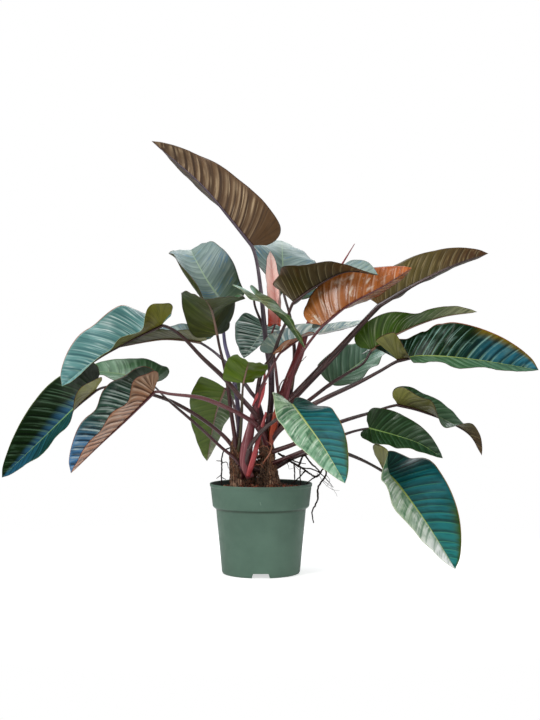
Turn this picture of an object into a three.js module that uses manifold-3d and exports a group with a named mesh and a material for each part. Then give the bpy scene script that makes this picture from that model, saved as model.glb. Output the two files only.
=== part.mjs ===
// A philodendron with long arrow-shaped leaves on red stalks, in a green plastic nursery pot.
// Millimetres, +Z up. The origin is the middle of the pot's underside, and +Y points to the plant's back.
// Each leaf is two meshes: its blade, and its stalk with the midrib that runs on under the blade.
import * as THREE from "three";
import { mergeVertices } from "three/addons/utils/BufferGeometryUtils.js";
import Module from "manifold-3d";

const wasm = await Module();
wasm.setup();

// Clearance between neighbouring pieces
const GAP = 0.3;

// Pot: a nursery pot, 24 cm across the rim. It stands on a thin ring and a middle pad under a raised floor.
const POT = {
  height: 211,
  rimRadius: 120,
  rimFootRadius: 113,
  rimDepth: 55,
  bodyRadius: 105,
  footRadius: 91.5,
  wall: 2.4,
  raisedFloor: 13,
  padRadius: 14,
  footBevel: 6,
  shelf: 4,
  edge: 0.9,
  segments: 40,
};
const NOTCH = { count: 3, width: 42, topWidth: 35, height: 11 };
const DRAIN = { count: 4, radius: 8, ring: 48, sides: 10 };

// Soil, mounded round the stems
const SOIL = { edgeDepth: 17, mound: 11, clearance: 2, roughness: 1.6, rings: 5, segments: 24 };

// Blades. veinBow: how far the vein lines bend. fanShare: share of them that start at the joint.
// veinLean: how they crowd towards the joint. waveOffset: how far the second half's waves are shifted.
const BLADE = {
  thickness: 1.2,
  rows: 11,
  columns: 3,
  veinBow: 0.35,
  fanShare: 0.2,
  veinLean: 1.5,
  waveOffset: 0.37,
  leastCurl: 0.01,
};

// Midribs under the blades. share: radius at the joint, as a share of the stalk's.
// turnIn: place on the midrib that its stalk bends towards.
const RIB = { reach: 0.72, tipRadius: 1, steps: 7, share: 0.62, tipGap: 2, turnIn: 0.12 };

// Stalks, swollen towards their feet
const STALK = { sides: 6, steps: 6, footSteps: 2, swell: 0.35, swellFade: 7 };

// Outlines of a half blade, as shares of its half width and of its length.
// Lobes run from their inner end to the joint, and blades from the joint to the tip.
const OUTLINE = {
  roundLobe: [[0.28, -0.8], [0.52, -1.0], [0.77, -0.75], [0.92, 0]],
  pointedLobe: [[0.26, -0.3], [0.56, -0.7], [0.84, -1.0], [0.97, 0]],
  places: [0.16, 0.3, 0.46, 0.63, 0.8, 0.94, 1],
  slenderBlade: [1.0, 0.97, 0.86, 0.67, 0.42, 0.16, 0],
  fullBlade: [1.0, 0.99, 0.95, 0.83, 0.6, 0.29, 0],
};

const COLOURS = {
  pot: 0x5f7f72,
  soil: 0x4a2f22,
  stem: 0x6b4a35,
  stalk: 0x5a2a2c,
  spear: 0x8a3a3c,
  root: 0x2a1c17,
};

// Leaves, named for their looks and places.
// midrib: points from the joint with the stalk to the tip.
// sides: the ways the two halves spread from the midrib, in degrees round it, from the base to the tip.
// Seen from the front, 0 is to the left of the midrib, 90 towards the eye, 180 to the right and 270 away.
// The upper face looks between the two. curl: how much more each half has turned towards it at the edge.
// width: of the flat blade. lobe: length of the lobes behind the joint, as a share of the blade's length.
// point: 0 for round lobes, 1 for lobes that end in a corner. full: 0 for a slender tip, 1 for a broad one.
// wave: height of the edge's waves. waves: their number.
// stalk: points from inside the stem to the joint. foot: length that is fused to the stem.
const LEAVES = {
  crest: {
    midrib: [[-19, -10, 765], [-68, -12, 825], [-140, -16, 909], [-254, -20, 1008]],
    sides: [[190, 200, 203, 190], [268, 270, 280, 270]],
    curl: [[0], [0]],
    width: 180, lobe: 0.07, point: 0, full: 0,
    wave: 3, waves: 3, colour: 0x5b4230,
    stalk: [[12, 5, 311], [23, 5, 402], [23, 3, 463], [12, 0, 538], [2, -4, 639], [-9, -8, 723]],
    stem: "right", foot: 64, radius: 6,
  },
  arched: {
    midrib: [
      [-95, 34, 640], [-129, 52, 689], [-151, 85, 727],
      [-164, 130, 750], [-172, 190, 766], [-179, 270, 777],
    ],
    sides: [[-20, -15, 5, 28, 35, 35], [215, 185, 178, 175]],
    curl: [[150, 155, 100, 30, 0, 0], [0]],
    width: 154, lobe: 0.05, point: 0, full: 0.3,
    wave: 3, waves: 3, colour: 0x7f9f8f,
    stalk: [[-54, 3, 278], [-52, 10, 362], [-62, 14, 442], [-74, 18, 496], [-85, 22, 536], [-90, 26, 588]],
    stem: "left", foot: 50, radius: 5,
  },
  wing: {
    midrib: [[-102, -30, 557], [-108, -44, 591], [-112, -80, 612], [-115, -150, 622], [-118, -270, 628]],
    sides: [[245, 225, 190, 184, 184, 184, 184, 184], [322, 316]],
    curl: [[0], [0]],
    width: 166, lobe: 0.05, point: 0.5, full: 0,
    wave: 3, waves: 3, colour: 0x55562e,
    stalk: [
      [-58, -5, 284], [-61, -12, 317], [-70, -16, 380],
      [-77, -20, 438], [-86, -24, 487], [-97, -28, 533],
    ],
    stem: "left", foot: 40, radius: 4.6,
  },
  bright: {
    midrib: [[-41, -75, 446], [-34, -86, 471], [-29, -120, 486], [-26, -205, 494]],
    sides: [[240, 210, 198, 198, 198, 198, 198], [365, 350, 340, 335]],
    curl: [[0], [0]],
    width: 100, lobe: 0.04, point: 0.7, full: 0,
    wave: 3, waves: 3, colour: 0x4f6b33,
    stalk: [[-54, -6, 279], [-49, -22, 313], [-45, -37, 364], [-43, -56, 411]],
    stem: "left", foot: 44, radius: 3.6,
  },
  pleated: {
    midrib: [[11, 140, 582], [-13, 95, 544], [-41, 45, 503]],
    sides: [[65], [190]],
    curl: [[0], [0]],
    width: 136, lobe: 0.08, point: 0, full: 0,
    wave: 8, waves: 2, colour: 0x24452c,
    stalk: [[16, 6, 311], [26, 44, 404], [26, 90, 487], [19, 124, 547]],
    stem: "right", foot: 64, radius: 4.6,
  },
  rear: {
    midrib: [[55, 100, 663], [52, 118, 722], [51, 150, 758], [51, 210, 782], [52, 330, 805]],
    sides: [[65, 35, 15, 15, 15], [175, 198, 200]],
    curl: [[0], [0]],
    width: 168, lobe: 0.08, point: 0, full: 0,
    wave: 3, waves: 3, colour: 0x7f9f8f,
    stalk: [[16, 4, 311], [49, 14, 358], [66, 24, 404], [76, 44, 463], [79, 64, 522], [71, 84, 595]],
    stem: "right", foot: 80, radius: 4.6,
  },
  canopy: {
    midrib: [[74, -56, 632], [126, -82, 669], [192, -124, 698], [261, -175, 687]],
    sides: [[-85, -80, -64, -35], [-14, 50, 60, 66]],
    curl: [[0], [0]],
    width: 158, lobe: 0.1, point: 1, full: 0,
    wave: 3, waves: 3, colour: 0x5b4230,
    stalk: [
      [12, -8, 312], [-16, -6, 358], [-9, -12, 417], [2, -34, 471],
      [27, -53, 508], [42, -58, 549], [58, -52, 586],
    ],
    stem: "right", foot: 75, radius: 5,
  },
  copper: {
    midrib: [[140, -66, 577], [202, -68, 626], [282, -74, 669], [345, -80, 709]],
    sides: [[285, 258, 248], [325, 350, 350, 350]],
    curl: [[0], [0]],
    width: 160, lobe: 0.08, point: 0, full: 0.2,
    wave: 3, waves: 3, colour: 0xa05a26,
    stalk: [[16, -6, 307], [51, -30, 383], [69, -48, 452], [85, -58, 499], [99, -63, 522], [117, -66, 547]],
    stem: "right", foot: 84, radius: 4.6,
  },
  slim: {
    midrib: [[44, -44, 517], [103, -4, 555], [162, 14, 567], [246, 38, 593]],
    sides: [[-35, -55, -60], [70, 98, 110]],
    curl: [[0], [0]],
    width: 108, lobe: 0.14, point: 0, full: 0,
    wave: 3, waves: 3, colour: 0x7f9f8f,
    stalk: [[12, -8, 307], [-7, -22, 371], [-3, -36, 424], [5, -41, 443], [16, -43, 464], [33, -44, 496]],
    stem: "right", foot: 64, radius: 4,
  },
  spread: {
    midrib: [[275, 10, 628], [359, 30, 677], [463, 70, 727], [550, 120, 757]],
    sides: [[262], [342, 350, 355]],
    curl: [[0], [0]],
    width: 128, lobe: 0.06, point: 1, full: 0.5,
    wave: 3, waves: 3, colour: 0x5b4230,
    stalk: [[12, 6, 306], [44, 0, 375], [75, -2, 410], [173, 0, 513]],
    stem: "right", foot: 92, radius: 9,
  },
  keel: {
    midrib: [[259, 22, 522], [328, 24, 565], [423, 32, 600], [513, 52, 613]],
    sides: [[-85, -80, -80], [-10, 60, 40]],
    curl: [[0], [0]],
    width: 122, lobe: 0.08, point: 0, full: 0,
    wave: 3, waves: 3, colour: 0x4f6b33,
    stalk: [[16, -4, 307], [68, -16, 375], [114, -8, 406], [162, 2, 442], [204, 12, 468], [242, 19, 492]],
    stem: "right", foot: 66, radius: 4.4,
  },
  glossy: {
    midrib: [[313, -60, 499], [366, -62, 508], [479, -70, 501], [633, -90, 476]],
    sides: [
      [-55, -62, -45, -22, -10, -5, -5, -5, -5, -5, -5],
      [42, 96, 100, 103, 105, 105, 105, 105, 105, 105, 105],
    ],
    curl: [[0], [0]],
    width: 168, lobe: 0.13, point: 1, full: 0.9,
    wave: 5, waves: 3, colour: 0x24452c,
    stalk: [
      [16, -8, 298], [35, -24, 327], [56, -34, 348], [90, -40, 378],
      [150, -46, 411], [224, -51, 446], [274, -56, 473],
    ],
    stem: "right", foot: 66, radius: 5.6,
  },
  shade: {
    midrib: [[166, 60, 441], [214, 110, 474], [265, 180, 508], [314, 260, 531]],
    sides: [[0], [115]],
    curl: [[0], [0]],
    width: 122, lobe: 0.03, point: 0, full: 0,
    wave: 6, waves: 3, colour: 0x24452c,
    stalk: [[16, 6, 302], [59, 38, 361], [97, 46, 389], [135, 54, 420]],
    stem: "right", foot: 72, radius: 4.4,
  },
  twisted: {
    midrib: [[315, -38, 397], [368, -42, 383], [437, -42, 355], [484, -38, 325], [512, -34, 278]],
    sides: [[-30, -40, -50, -70, -90], [40, 60, 110, 40, 20]],
    curl: [[0], [0]],
    width: 108, lobe: 0.07, point: 0, full: 0,
    wave: 3, waves: 3, colour: 0x55562e,
    stalk: [[26, -8, 284], [82, -16, 305], [137, -22, 336], [191, -26, 357], [253, -32, 376]],
    stem: "right", foot: 60, radius: 4.8,
  },
  oval: {
    midrib: [[248, -60, 342], [312, -75, 325], [362, -95, 308], [411, -120, 277]],
    sides: [[5], [123]],
    curl: [[0], [0]],
    width: 106, lobe: 0.06, point: 0, full: 0,
    wave: 3, waves: 3, colour: 0x24452c,
    stalk: [[16, -4, 253], [81, -34, 281], [148, -48, 309], [209, -57, 333]],
    stem: "right", foot: 62, radius: 4.4,
  },
  broad: {
    midrib: [[282, -50, 245], [316, -75, 210], [374, -130, 130], [430, -190, 37]],
    sides: [[-40, 0, 0, 0, 0], [70, 105, 115, 118, 118, 118]],
    curl: [[0], [0]],
    width: 192, lobe: 0.14, point: 0, full: 0.6,
    wave: 3, waves: 3, colour: 0x3f7d7c,
    stalk: [[30, 5, 245], [91, -8, 277], [161, -22, 289], [216, -36, 275]],
    stem: "right", foot: 55, radius: 5,
  },
  front: {
    midrib: [[71, -110, 399], [99, -150, 362], [137, -210, 310], [181, -300, 236]],
    sides: [[-50, -15, -10, -10, -10], [115, 135, 140, 140, 140]],
    curl: [[0], [0]],
    width: 140, lobe: 0.1, point: 0, full: 0.2,
    wave: 3, waves: 3, colour: 0x3f7d7c,
    stalk: [
      [12, -10, 237], [-30, -40, 258], [-26, -52, 296], [-10, -58, 321],
      [10, -66, 343], [37, -78, 364], [57, -95, 385],
    ],
    stem: "right", foot: 94, radius: 5,
  },
  teal: {
    midrib: [[-228, -46, 581], [-292, -58, 549], [-367, -85, 505], [-446, -140, 440]],
    sides: [[125, 95, 92, 90, 85, 75], [245, 190, 198, 188, 185]],
    curl: [[0], [0]],
    width: 168, lobe: 0.13, point: 0, full: 0.9,
    wave: 6, waves: 3, colour: 0x3f7d7c,
    stalk: [
      [12, -14, 312], [2, -28, 343], [-16, -35, 376], [-46, -41, 411],
      [-83, -45, 455], [-134, -47, 503], [-187, -46, 557],
    ],
    stem: "right", foot: 56, radius: 5.4,
  },
  low: {
    midrib: [[-389, 20, 429], [-435, 25, 390], [-528, 35, 302], [-615, 45, 220]],
    sides: [[105, 72, 63, 63], [200, 182, 180]],
    curl: [[0], [0]],
    width: 170, lobe: 0.12, point: 0, full: 0.3,
    wave: 3, waves: 3, colour: 0x24452c,
    stalk: [
      [-49, 2, 264], [-73, 6, 304], [-106, 12, 336], [-168, 22, 378],
      [-226, 22, 407], [-320, 18, 433], [-365, 19, 435],
    ],
    stem: "left", foot: 50, radius: 4.4,
  },
  folded: {
    midrib: [[-243, -90, 428], [-303, -100, 367], [-359, -110, 313], [-427, -130, 244]],
    sides: [[122, 108, 107, 107, 105], [210, 188, 210, 190, 190]],
    curl: [[0], [0]],
    width: 172, lobe: 0.13, point: 0, full: 0.8,
    wave: 6, waves: 3, colour: 0x5b4230,
    stalk: [
      [12, -20, 303], [2, -40, 332], [-11, -47, 349], [-46, -56, 373],
      [-92, -63, 395], [-138, -72, 412], [-207, -84, 421],
    ],
    stem: "right", foot: 54, radius: 5,
  },
  back_left: {
    midrib: [[-259, 50, 442], [-341, 105, 465], [-467, 180, 474]],
    sides: [[80], [225]],
    curl: [[0], [0]],
    width: 132, lobe: 0.08, point: 0, full: 0,
    wave: 3, waves: 3, colour: 0x7f9f8f,
    stalk: [
      [-49, -6, 214], [-42, -22, 233], [-58, -26, 266],
      [-93, -22, 296], [-141, -14, 340], [-218, 2, 405],
    ],
    stem: "left", foot: 46, radius: 3.6,
  },
  edge_on: {
    midrib: [[-144, 72, 542], [-185, 84, 548], [-245, 104, 549], [-357, 140, 528]],
    sides: [[115], [230]],
    curl: [[0], [0]],
    width: 110, lobe: 0.1, point: 0, full: 0,
    wave: 3, waves: 3, colour: 0x55562e,
    stalk: [[12, 8, 320], [-7, 12, 400], [-24, 18, 423], [-38, 26, 442], [-98, 58, 506]],
    stem: "right", foot: 62, radius: 4.6,
  },
  hanging: {
    midrib: [[-87, 100, 431], [-110, 130, 372], [-133, 200, 263], [-136, 215, 247]],
    sides: [[190], [300]],
    curl: [[0], [0]],
    width: 144, lobe: 0.02, point: 0, full: 0,
    wave: 5, waves: 3, colour: 0x4f6b33,
    stalk: [[-54, 4, 278], [-55, 35, 345], [-67, 70, 396]],
    stem: "left", foot: 40, radius: 4,
  },
  ribbon: {
    midrib: [[-13, -60, 648], [19, -86, 622], [55, -128, 584], [98, -190, 525]],
    sides: [[-62, -64, -68, -65], [116, 104, 70, 60]],
    curl: [[0], [0]],
    width: 86, lobe: 0.24, point: 0.6, full: 0,
    wave: 3, waves: 3, colour: 0x4f6b33,
    stalk: [[12, 10, 311], [23, 22, 402], [26, 28, 463], [16, 28, 539], [2, 16, 583], [-14, -24, 624]],
    stem: "right", foot: 64, radius: 4,
  },
  new: {
    midrib: [[33, 28, 584], [33, 29, 640], [21, 30, 756]],
    sides: [[35], [145]],
    curl: [[70], [90]],
    width: 96, lobe: 0.04, point: 0, full: 0,
    wave: 0, waves: 3, colour: 0xd98f8a,
    stalk: [[12, -2, 302], [40, -10, 394], [37, -8, 452], [30, 8, 510], [23, 20, 550]],
    stem: "right", foot: 84, radius: 3.6,
  },
};

// Stems: points from the foot in the soil to the top, with radii, and the papery sheaths on them
const STEMS = {
  left: {
    points: [[-53, 0, 150], [-53, 0, 215], [-57, 0, 265], [-58, 0, 300], [-57, 0, 318]],
    radii: [19, 19, 15, 11.5, 8],
    sheaths: [],
  },
  right: {
    points: [[22, 0, 140], [21, 0, 212], [16, 0, 255], [12, 0, 300], [9, 0, 346]],
    radii: [22, 22, 17.5, 15, 12],
    sheaths: [
      {
        points: [[8, -8, 236], [-26, -38, 228], [-17, -40, 272], [-4, -36, 316], [6, -22, 350]],
        radii: [6, 7.5, 6, 5.5, 3],
      },
      {
        points: [[-24, -37, 226], [-39, -36, 258], [-36, -33, 296], [-28, -32, 332], [-21, -30, 364]],
        radii: [6, 8, 8.8, 7, 2.5],
      },
    ],
  },
};

// Facets of the stems and of their sheaths
const TRUNK = { sides: 12, steps: 8 };
const SHEATH = { sides: 7, steps: 8 };

// The spear of the next leaf in its red sheath. Its foot is part of the stem.
const SPEAR = {
  points: [
    [12, 2, 320],
    [36, 14, 376],
    [62, 24, 444],
    [90, 36, 512],
    [103, 48, 558],
    [142, 58, 642],
    [202, 62, 742],
    [223, 64, 776],
  ],
  radii: [9, 9.5, 10.5, 10.5, 9, 4.5, 2, 0.8],
  foot: 78,
  sides: 8,
  steps: 12,
  footSteps: 3,
};

// Aerial roots: they start together at the stem
const ROOTS = {
  right: [
    {
      points: [[39.5, -8, 281], [70, -14, 262], [100, -18, 244], [128, -16, 226], [142, -10, 238]],
      radii: [2.6, 2.2, 2, 1.8, 1.2],
    },
    { points: [[50, -10, 276], [82, -22, 262], [104, -30, 258]], radii: [2, 1.5, 0.9] },
    {
      points: [[62, -12, 268], [90, -30, 250], [118, -34, 246], [140, -36, 234], [168, -38, 204]],
      radii: [1.8, 1.6, 1.4, 1.1, 0.8],
    },
    { points: [[76, -14, 258], [79, -12, 234], [78, -10, 208]], radii: [1.6, 1.5, 1.3] },
    { points: [[92, -17, 248], [91, -14, 228], [93, -12, 205]], radii: [1.6, 1.5, 1.2] },
    { points: [[104, -19, 242], [90, -16, 226], [70, -10, 208]], radii: [1.8, 1.6, 1.3] },
    {
      points: [
        [88, -16, 251], [100, -36, 278], [114, -44, 262],
        [136, -48, 238], [120, -52, 226], [104, -44, 212],
      ],
      radii: [2.4, 2.2, 2, 1.8, 1.6, 1.2],
    },
    {
      points: [
        [136, -48, 238], [146, -56, 250], [150, -60, 236], [132, -58, 206],
        [130, -60, 176], [118, -62, 150], [121, -60, 124],
      ],
      radii: [1.6, 2, 2.2, 2.2, 2, 1.8, 1.2],
    },
  ],
  left: [
    {
      points: [[-70.6, -3, 294], [-88, -6, 285], [-92, -6, 250], [-92, -4, 201]],
      radii: [2, 1.8, 1.7, 1.6],
    },
    { points: [[-91, -6, 262], [-104, -12, 264]], radii: [1.2, 0.7] },
    { points: [[-91, -5, 258], [-80, -12, 260], [-76, -16, 246]], radii: [1.2, 1, 0.7] },
    { points: [[-92, -5, 230], [-104, -10, 222]], radii: [1.1, 0.7] },
    { points: [[-92, -5, 224], [-82, -12, 220]], radii: [1.1, 0.8] },
  ],
};
const ROOT = { sides: 4, steps: 2 };

// Smooth path through points, measured along its chords. It goes straight on past both ends.
class Path {
  constructor(points) {
    this.points = points.map((p) => new THREE.Vector3(...p));
    this.knots = [0];
    for (let i = 1; i < points.length; i += 1) {
      this.knots.push(this.knots[i - 1] + this.points[i].distanceTo(this.points[i - 1]));
    }
    this.length = this.knots.at(-1);
    const last = points.length - 1;
    this.slopes = this.points.map((_, i) => {
      const [a, b] = [Math.max(i - 1, 0), Math.min(i + 1, last)];
      return this.points[b].clone().sub(this.points[a]).divideScalar(this.knots[b] - this.knots[a]);
    });
  }

  at(distance) {
    const d = THREE.MathUtils.clamp(distance, 0, this.length);
    let i = 0;
    while (i < this.knots.length - 2 && this.knots[i + 1] < d) i += 1;
    const span = this.knots[i + 1] - this.knots[i];
    const u = (d - this.knots[i]) / span;
    const [a, b, s, t] = [this.points[i], this.points[i + 1], this.slopes[i], this.slopes[i + 1]];
    const point = new THREE.Vector3()
      .addScaledVector(a, 2 * u ** 3 - 3 * u ** 2 + 1)
      .addScaledVector(s, span * (u ** 3 - 2 * u ** 2 + u))
      .addScaledVector(b, 3 * u ** 2 - 2 * u ** 3)
      .addScaledVector(t, span * (u ** 3 - u ** 2));
    const direction = new THREE.Vector3()
      .addScaledVector(a, (6 * u ** 2 - 6 * u) / span)
      .addScaledVector(s, 3 * u ** 2 - 4 * u + 1)
      .addScaledVector(b, (6 * u - 6 * u ** 2) / span)
      .addScaledVector(t, 3 * u ** 2 - 2 * u)
      .normalize();
    point.addScaledVector(direction, distance - d);
    return { point, direction };
  }
}

// Value at a share of the way along a list of evenly spaced values, eased between them
function between(list, share) {
  const place = THREE.MathUtils.clamp(share, 0, 1) * (list.length - 1);
  const i = Math.min(Math.floor(place), Math.max(list.length - 2, 0));
  const u = place - i;
  const ease = u * u * (3 - 2 * u);
  const next = Math.min(i + 1, list.length - 1);
  return list[i] * (1 - ease) + list[next] * ease;
}

// Outline of one half of a flat blade, from the inner end of its lobe round to the tip, in mm
function margin(leaf, length) {
  const { lerp } = THREE.MathUtils;
  const lobeShape = OUTLINE.roundLobe.map(([x, y], i) => {
    const [cornerX, cornerY] = OUTLINE.pointedLobe[i];
    return [lerp(x, cornerX, leaf.point), lerp(y, cornerY, leaf.point) * leaf.lobe];
  });
  const bladeShape = OUTLINE.places.map((y, i) => [
    lerp(OUTLINE.slenderBlade[i], OUTLINE.fullBlade[i], leaf.full),
    y,
  ]);
  const halfWidth = leaf.width / 2;
  return new Path([...lobeShape, ...bladeShape].map(([x, y]) => [x * halfWidth, y * length, 0]));
}

// The middle surface of a blade as a function of the place on the flat blade
function bladeForm(leaf) {
  const path = new Path(leaf.midrib);
  const halfWidth = leaf.width / 2;
  const chord = path.points.at(-1).clone().sub(path.points[0]);
  const left = new THREE.Vector3(-chord.z, 0, chord.x);

  // At a place along the midrib: its cross directions, and the turns of both halves and of the upper face
  function frame(along) {
    const share = along / path.length;
    const { point, direction } = path.at(along);
    const tangent = path.at(Math.max(along, 0)).direction;
    const sideways = left.clone().addScaledVector(tangent, -left.dot(tangent)).normalize();
    const forward = tangent.clone().cross(sideways);
    const turns = leaf.sides.map((list) => THREE.MathUtils.degToRad(between(list, share)));
    const towards = (turn) => {
      return sideways.clone().multiplyScalar(Math.cos(turn)).addScaledVector(forward, Math.sin(turn));
    };
    return { point, direction, towards, turns, up: towards((turns[0] + turns[1]) / 2), share };
  }

  // half: 0 or 1. across: distance from the midrib. along: distance from the joint.
  function at(half, across, along) {
    const { point, towards, turns, share } = frame(along);
    const way = half === 0 ? 1 : -1;
    const curl = THREE.MathUtils.degToRad(between(leaf.curl[half], share) || BLADE.leastCurl);
    const bend = (way * curl) / halfWidth;
    const turned = turns[half] + bend * across;
    const chord = (2 * Math.sin((bend * across) / 2)) / bend;
    const wave = leaf.wave * Math.sin(2 * Math.PI * (leaf.waves * share + BLADE.waveOffset * half));
    const rise = wave * (across / halfWidth) ** 2;
    return point
      .addScaledVector(towards((turns[half] + turned) / 2), chord)
      .addScaledVector(towards(turned + (way * Math.PI) / 2), rise);
  }
  return { path, halfWidth, frame, at };
}

// Closed solid round an open surface of triangles, with the same triangles on both faces
function thicken(points, triangles, thickness) {
  const normals = points.map(() => new THREE.Vector3());
  const edges = new Map();
  for (const [a, b, c] of triangles) {
    const face = points[b].clone().sub(points[a]).cross(points[c].clone().sub(points[a]));
    for (const k of [a, b, c]) normals[k].add(face);
    for (const [p, q] of [[a, b], [b, c], [c, a]]) edges.set(`${p} ${q}`, [p, q]);
  }
  const n = points.length;
  const half = thickness / 2;
  const place = (k, way) => points[k].clone().addScaledVector(normals[k].normalize(), way * half);
  const positions = [...points.map((_, k) => place(k, 1)), ...points.map((_, k) => place(k, -1))];
  const faces = [...triangles, ...triangles.map(([a, b, c]) => [a + n, c + n, b + n])];
  for (const [p, q] of edges.values()) {
    if (!edges.has(`${q} ${p}`)) faces.push([q, p, p + n], [q, p + n, q + n]);
  }
  return geometryOf(positions, faces);
}

function geometryOf(points, faces) {
  const geometry = new THREE.BufferGeometry();
  const numbers = points.flatMap((p) => p.toArray());
  geometry.setAttribute("position", new THREE.Float32BufferAttribute(numbers, 3));
  geometry.setIndex(faces.flat());
  return geometry;
}

// Blade: lines run from the midrib to the edge as the veins do, and fan out round the joint
function bladeGeometry(leaf) {
  const form = bladeForm(leaf);
  const length = form.path.length;
  const edge = margin(leaf, length);
  const points = [];
  const found = new Map();
  const indexOf = (p) => {
    const key = p.toArray().map((x) => x.toFixed(3)).join(" ");
    if (!found.has(key)) found.set(key, points.push(p) - 1);
    return found.get(key);
  };
  const triangles = [];
  for (const half of [0, 1]) {
    const grid = [];
    for (let i = 0; i <= BLADE.rows; i += 1) {
      const turn = i / BLADE.rows;
      const end = edge.at(turn * edge.length).point;
      const root = length * Math.max((turn - BLADE.fanShare) / (1 - BLADE.fanShare), 0) ** BLADE.veinLean;
      const line = [];
      for (let j = 0; j <= BLADE.columns; j += 1) {
        const s = j / BLADE.columns;
        const along = root + (end.y - root) * ((1 - BLADE.veinBow) * s + BLADE.veinBow * s * s);
        line.push(indexOf(form.at(half, end.x * s, along)));
      }
      grid.push(line);
    }
    for (let i = 0; i < BLADE.rows; i += 1) {
      for (let j = 0; j < BLADE.columns; j += 1) {
        const [a, b, c, d] = [grid[i][j], grid[i][j + 1], grid[i + 1][j + 1], grid[i + 1][j]];
        const pair = half === 1 ? [[a, b, c], [a, c, d]] : [[a, c, b], [a, d, c]];
        triangles.push(...pair.filter(([p, q, r]) => p !== q && q !== r && r !== p));
      }
    }
  }
  return thicken(points, triangles, BLADE.thickness);
}

// Closed solid through rings of points, with flat ends
function loft(rings) {
  const sides = rings[0].length;
  const points = rings.flat();
  const faces = [];
  for (let i = 0; i + 1 < rings.length; i += 1) {
    for (let k = 0; k < sides; k += 1) {
      const [a, b] = [i * sides + k, i * sides + ((k + 1) % sides)];
      faces.push([a, b, b + sides], [a, b + sides, a + sides]);
    }
  }
  const end = (rings.length - 1) * sides;
  for (let k = 1; k + 1 < sides; k += 1) faces.push([0, k + 1, k], [end, end + k, end + k + 1]);
  return geometryOf(points, faces);
}

// Ring of points round a centre; x and y are its two directions
function ring(centre, x, y, radius, sides) {
  return Array.from({ length: sides }, (_, k) => {
    const turn = (2 * Math.PI * (k + 0.5)) / sides;
    const [dx, dy] = [radius * Math.cos(turn), radius * Math.sin(turn)];
    return centre.clone().addScaledVector(x, dx).addScaledVector(y, dy);
  });
}

// Rings along a path from one distance to another. The first ring's direction is carried on without twist.
function ringsAlong(path, from, to, steps, radiusAt, sides) {
  const rings = [];
  let x = new THREE.Vector3(1, 0.2, 0.1);
  for (let i = 0; i <= steps; i += 1) {
    const share = i / steps;
    const { point, direction } = path.at(from + (to - from) * share);
    x = x.addScaledVector(direction, -x.dot(direction)).normalize();
    rings.push(ring(point, x, direction.clone().cross(x), radiusAt(share), sides));
  }
  return rings;
}

// Stalk of a leaf: its path from the stem to the joint, and the rib that carries on under the blade
function stalkForm(leaf) {
  const form = bladeForm(leaf);
  const ribRadius = (share) => THREE.MathUtils.lerp(leaf.radius * RIB.share, RIB.tipRadius, share);
  const ribCentre = (share) => {
    const { point, up } = form.frame(form.path.length * RIB.reach * share);
    const gap = THREE.MathUtils.lerp(GAP, RIB.tipGap, Math.sqrt(share));
    return point.addScaledVector(up, -(BLADE.thickness / 2 + gap + ribRadius(share)));
  };
  const path = new Path([...leaf.stalk, ribCentre(0).toArray(), ribCentre(RIB.turnIn).toArray()]);
  const end = path.knots.at(-2);
  const radiusAt = (distance) => {
    const share = distance / end;
    const swell = STALK.swell * Math.exp(-share * STALK.swellFade);
    const taper = THREE.MathUtils.lerp(1, RIB.share, THREE.MathUtils.smoothstep(share, 0.5, 1));
    return leaf.radius * (1 + swell) * taper;
  };
  return { form, path, end, radiusAt, ribCentre, ribRadius };
}

function stalkGeometry(leaf) {
  const { form, path, end, radiusAt, ribCentre, ribRadius } = stalkForm(leaf);
  const lengthwise = end - leaf.foot;
  const rings = [];
  // The rings are set from the joint downwards, so that their corners line up with the rib's
  let x = form.frame(0).up.cross(form.frame(0).direction);
  for (let i = STALK.steps; i >= 0; i -= 1) {
    const distance = leaf.foot + (lengthwise * i) / STALK.steps;
    const { point, direction } = path.at(distance);
    x = x.addScaledVector(direction, -x.dot(direction)).normalize();
    rings.unshift(ring(point, x, direction.clone().cross(x), radiusAt(distance), STALK.sides));
  }
  for (let i = 1; i <= RIB.steps; i += 1) {
    const share = i / RIB.steps;
    const { direction, up } = form.frame(form.path.length * RIB.reach * share);
    const across = up.clone().cross(direction).normalize();
    const upwards = direction.clone().cross(across);
    rings.push(ring(ribCentre(share), across, upwards, ribRadius(share), STALK.sides));
  }
  return loft(rings);
}

// The foot of a stalk, which is fused into its stem
function stalkFootGeometry(leaf) {
  const { path, radiusAt } = stalkForm(leaf);
  const to = leaf.foot - GAP;
  return loft(ringsAlong(path, 0, to, STALK.footSteps, (share) => radiusAt(to * share), STALK.sides));
}

// Solids for joining and cutting
function solidOf(geometry) {
  const bare = geometry.clone();
  bare.deleteAttribute("normal");
  bare.deleteAttribute("uv");
  const merged = mergeVertices(bare, 1e-4);
  return new wasm.Manifold(
    new wasm.Mesh({
      numProp: 3,
      vertProperties: merged.attributes.position.array,
      triVerts: new Uint32Array(merged.index.array),
    }),
  );
}

function geometryOfSolid(solid) {
  const { vertProperties, triVerts } = solid.getMesh();
  const geometry = new THREE.BufferGeometry();
  geometry.setAttribute("position", new THREE.BufferAttribute(vertProperties, 3));
  geometry.setIndex(new THREE.BufferAttribute(triVerts, 1));
  return geometry;
}

// Solid of revolution about the Z axis from [radius, height] points, which start and end on the axis
function turned(profile, segments) {
  const outline = profile.map(([r, z]) => new THREE.Vector2(r, z));
  return new THREE.LatheGeometry(outline, segments).rotateX(Math.PI / 2);
}

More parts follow.
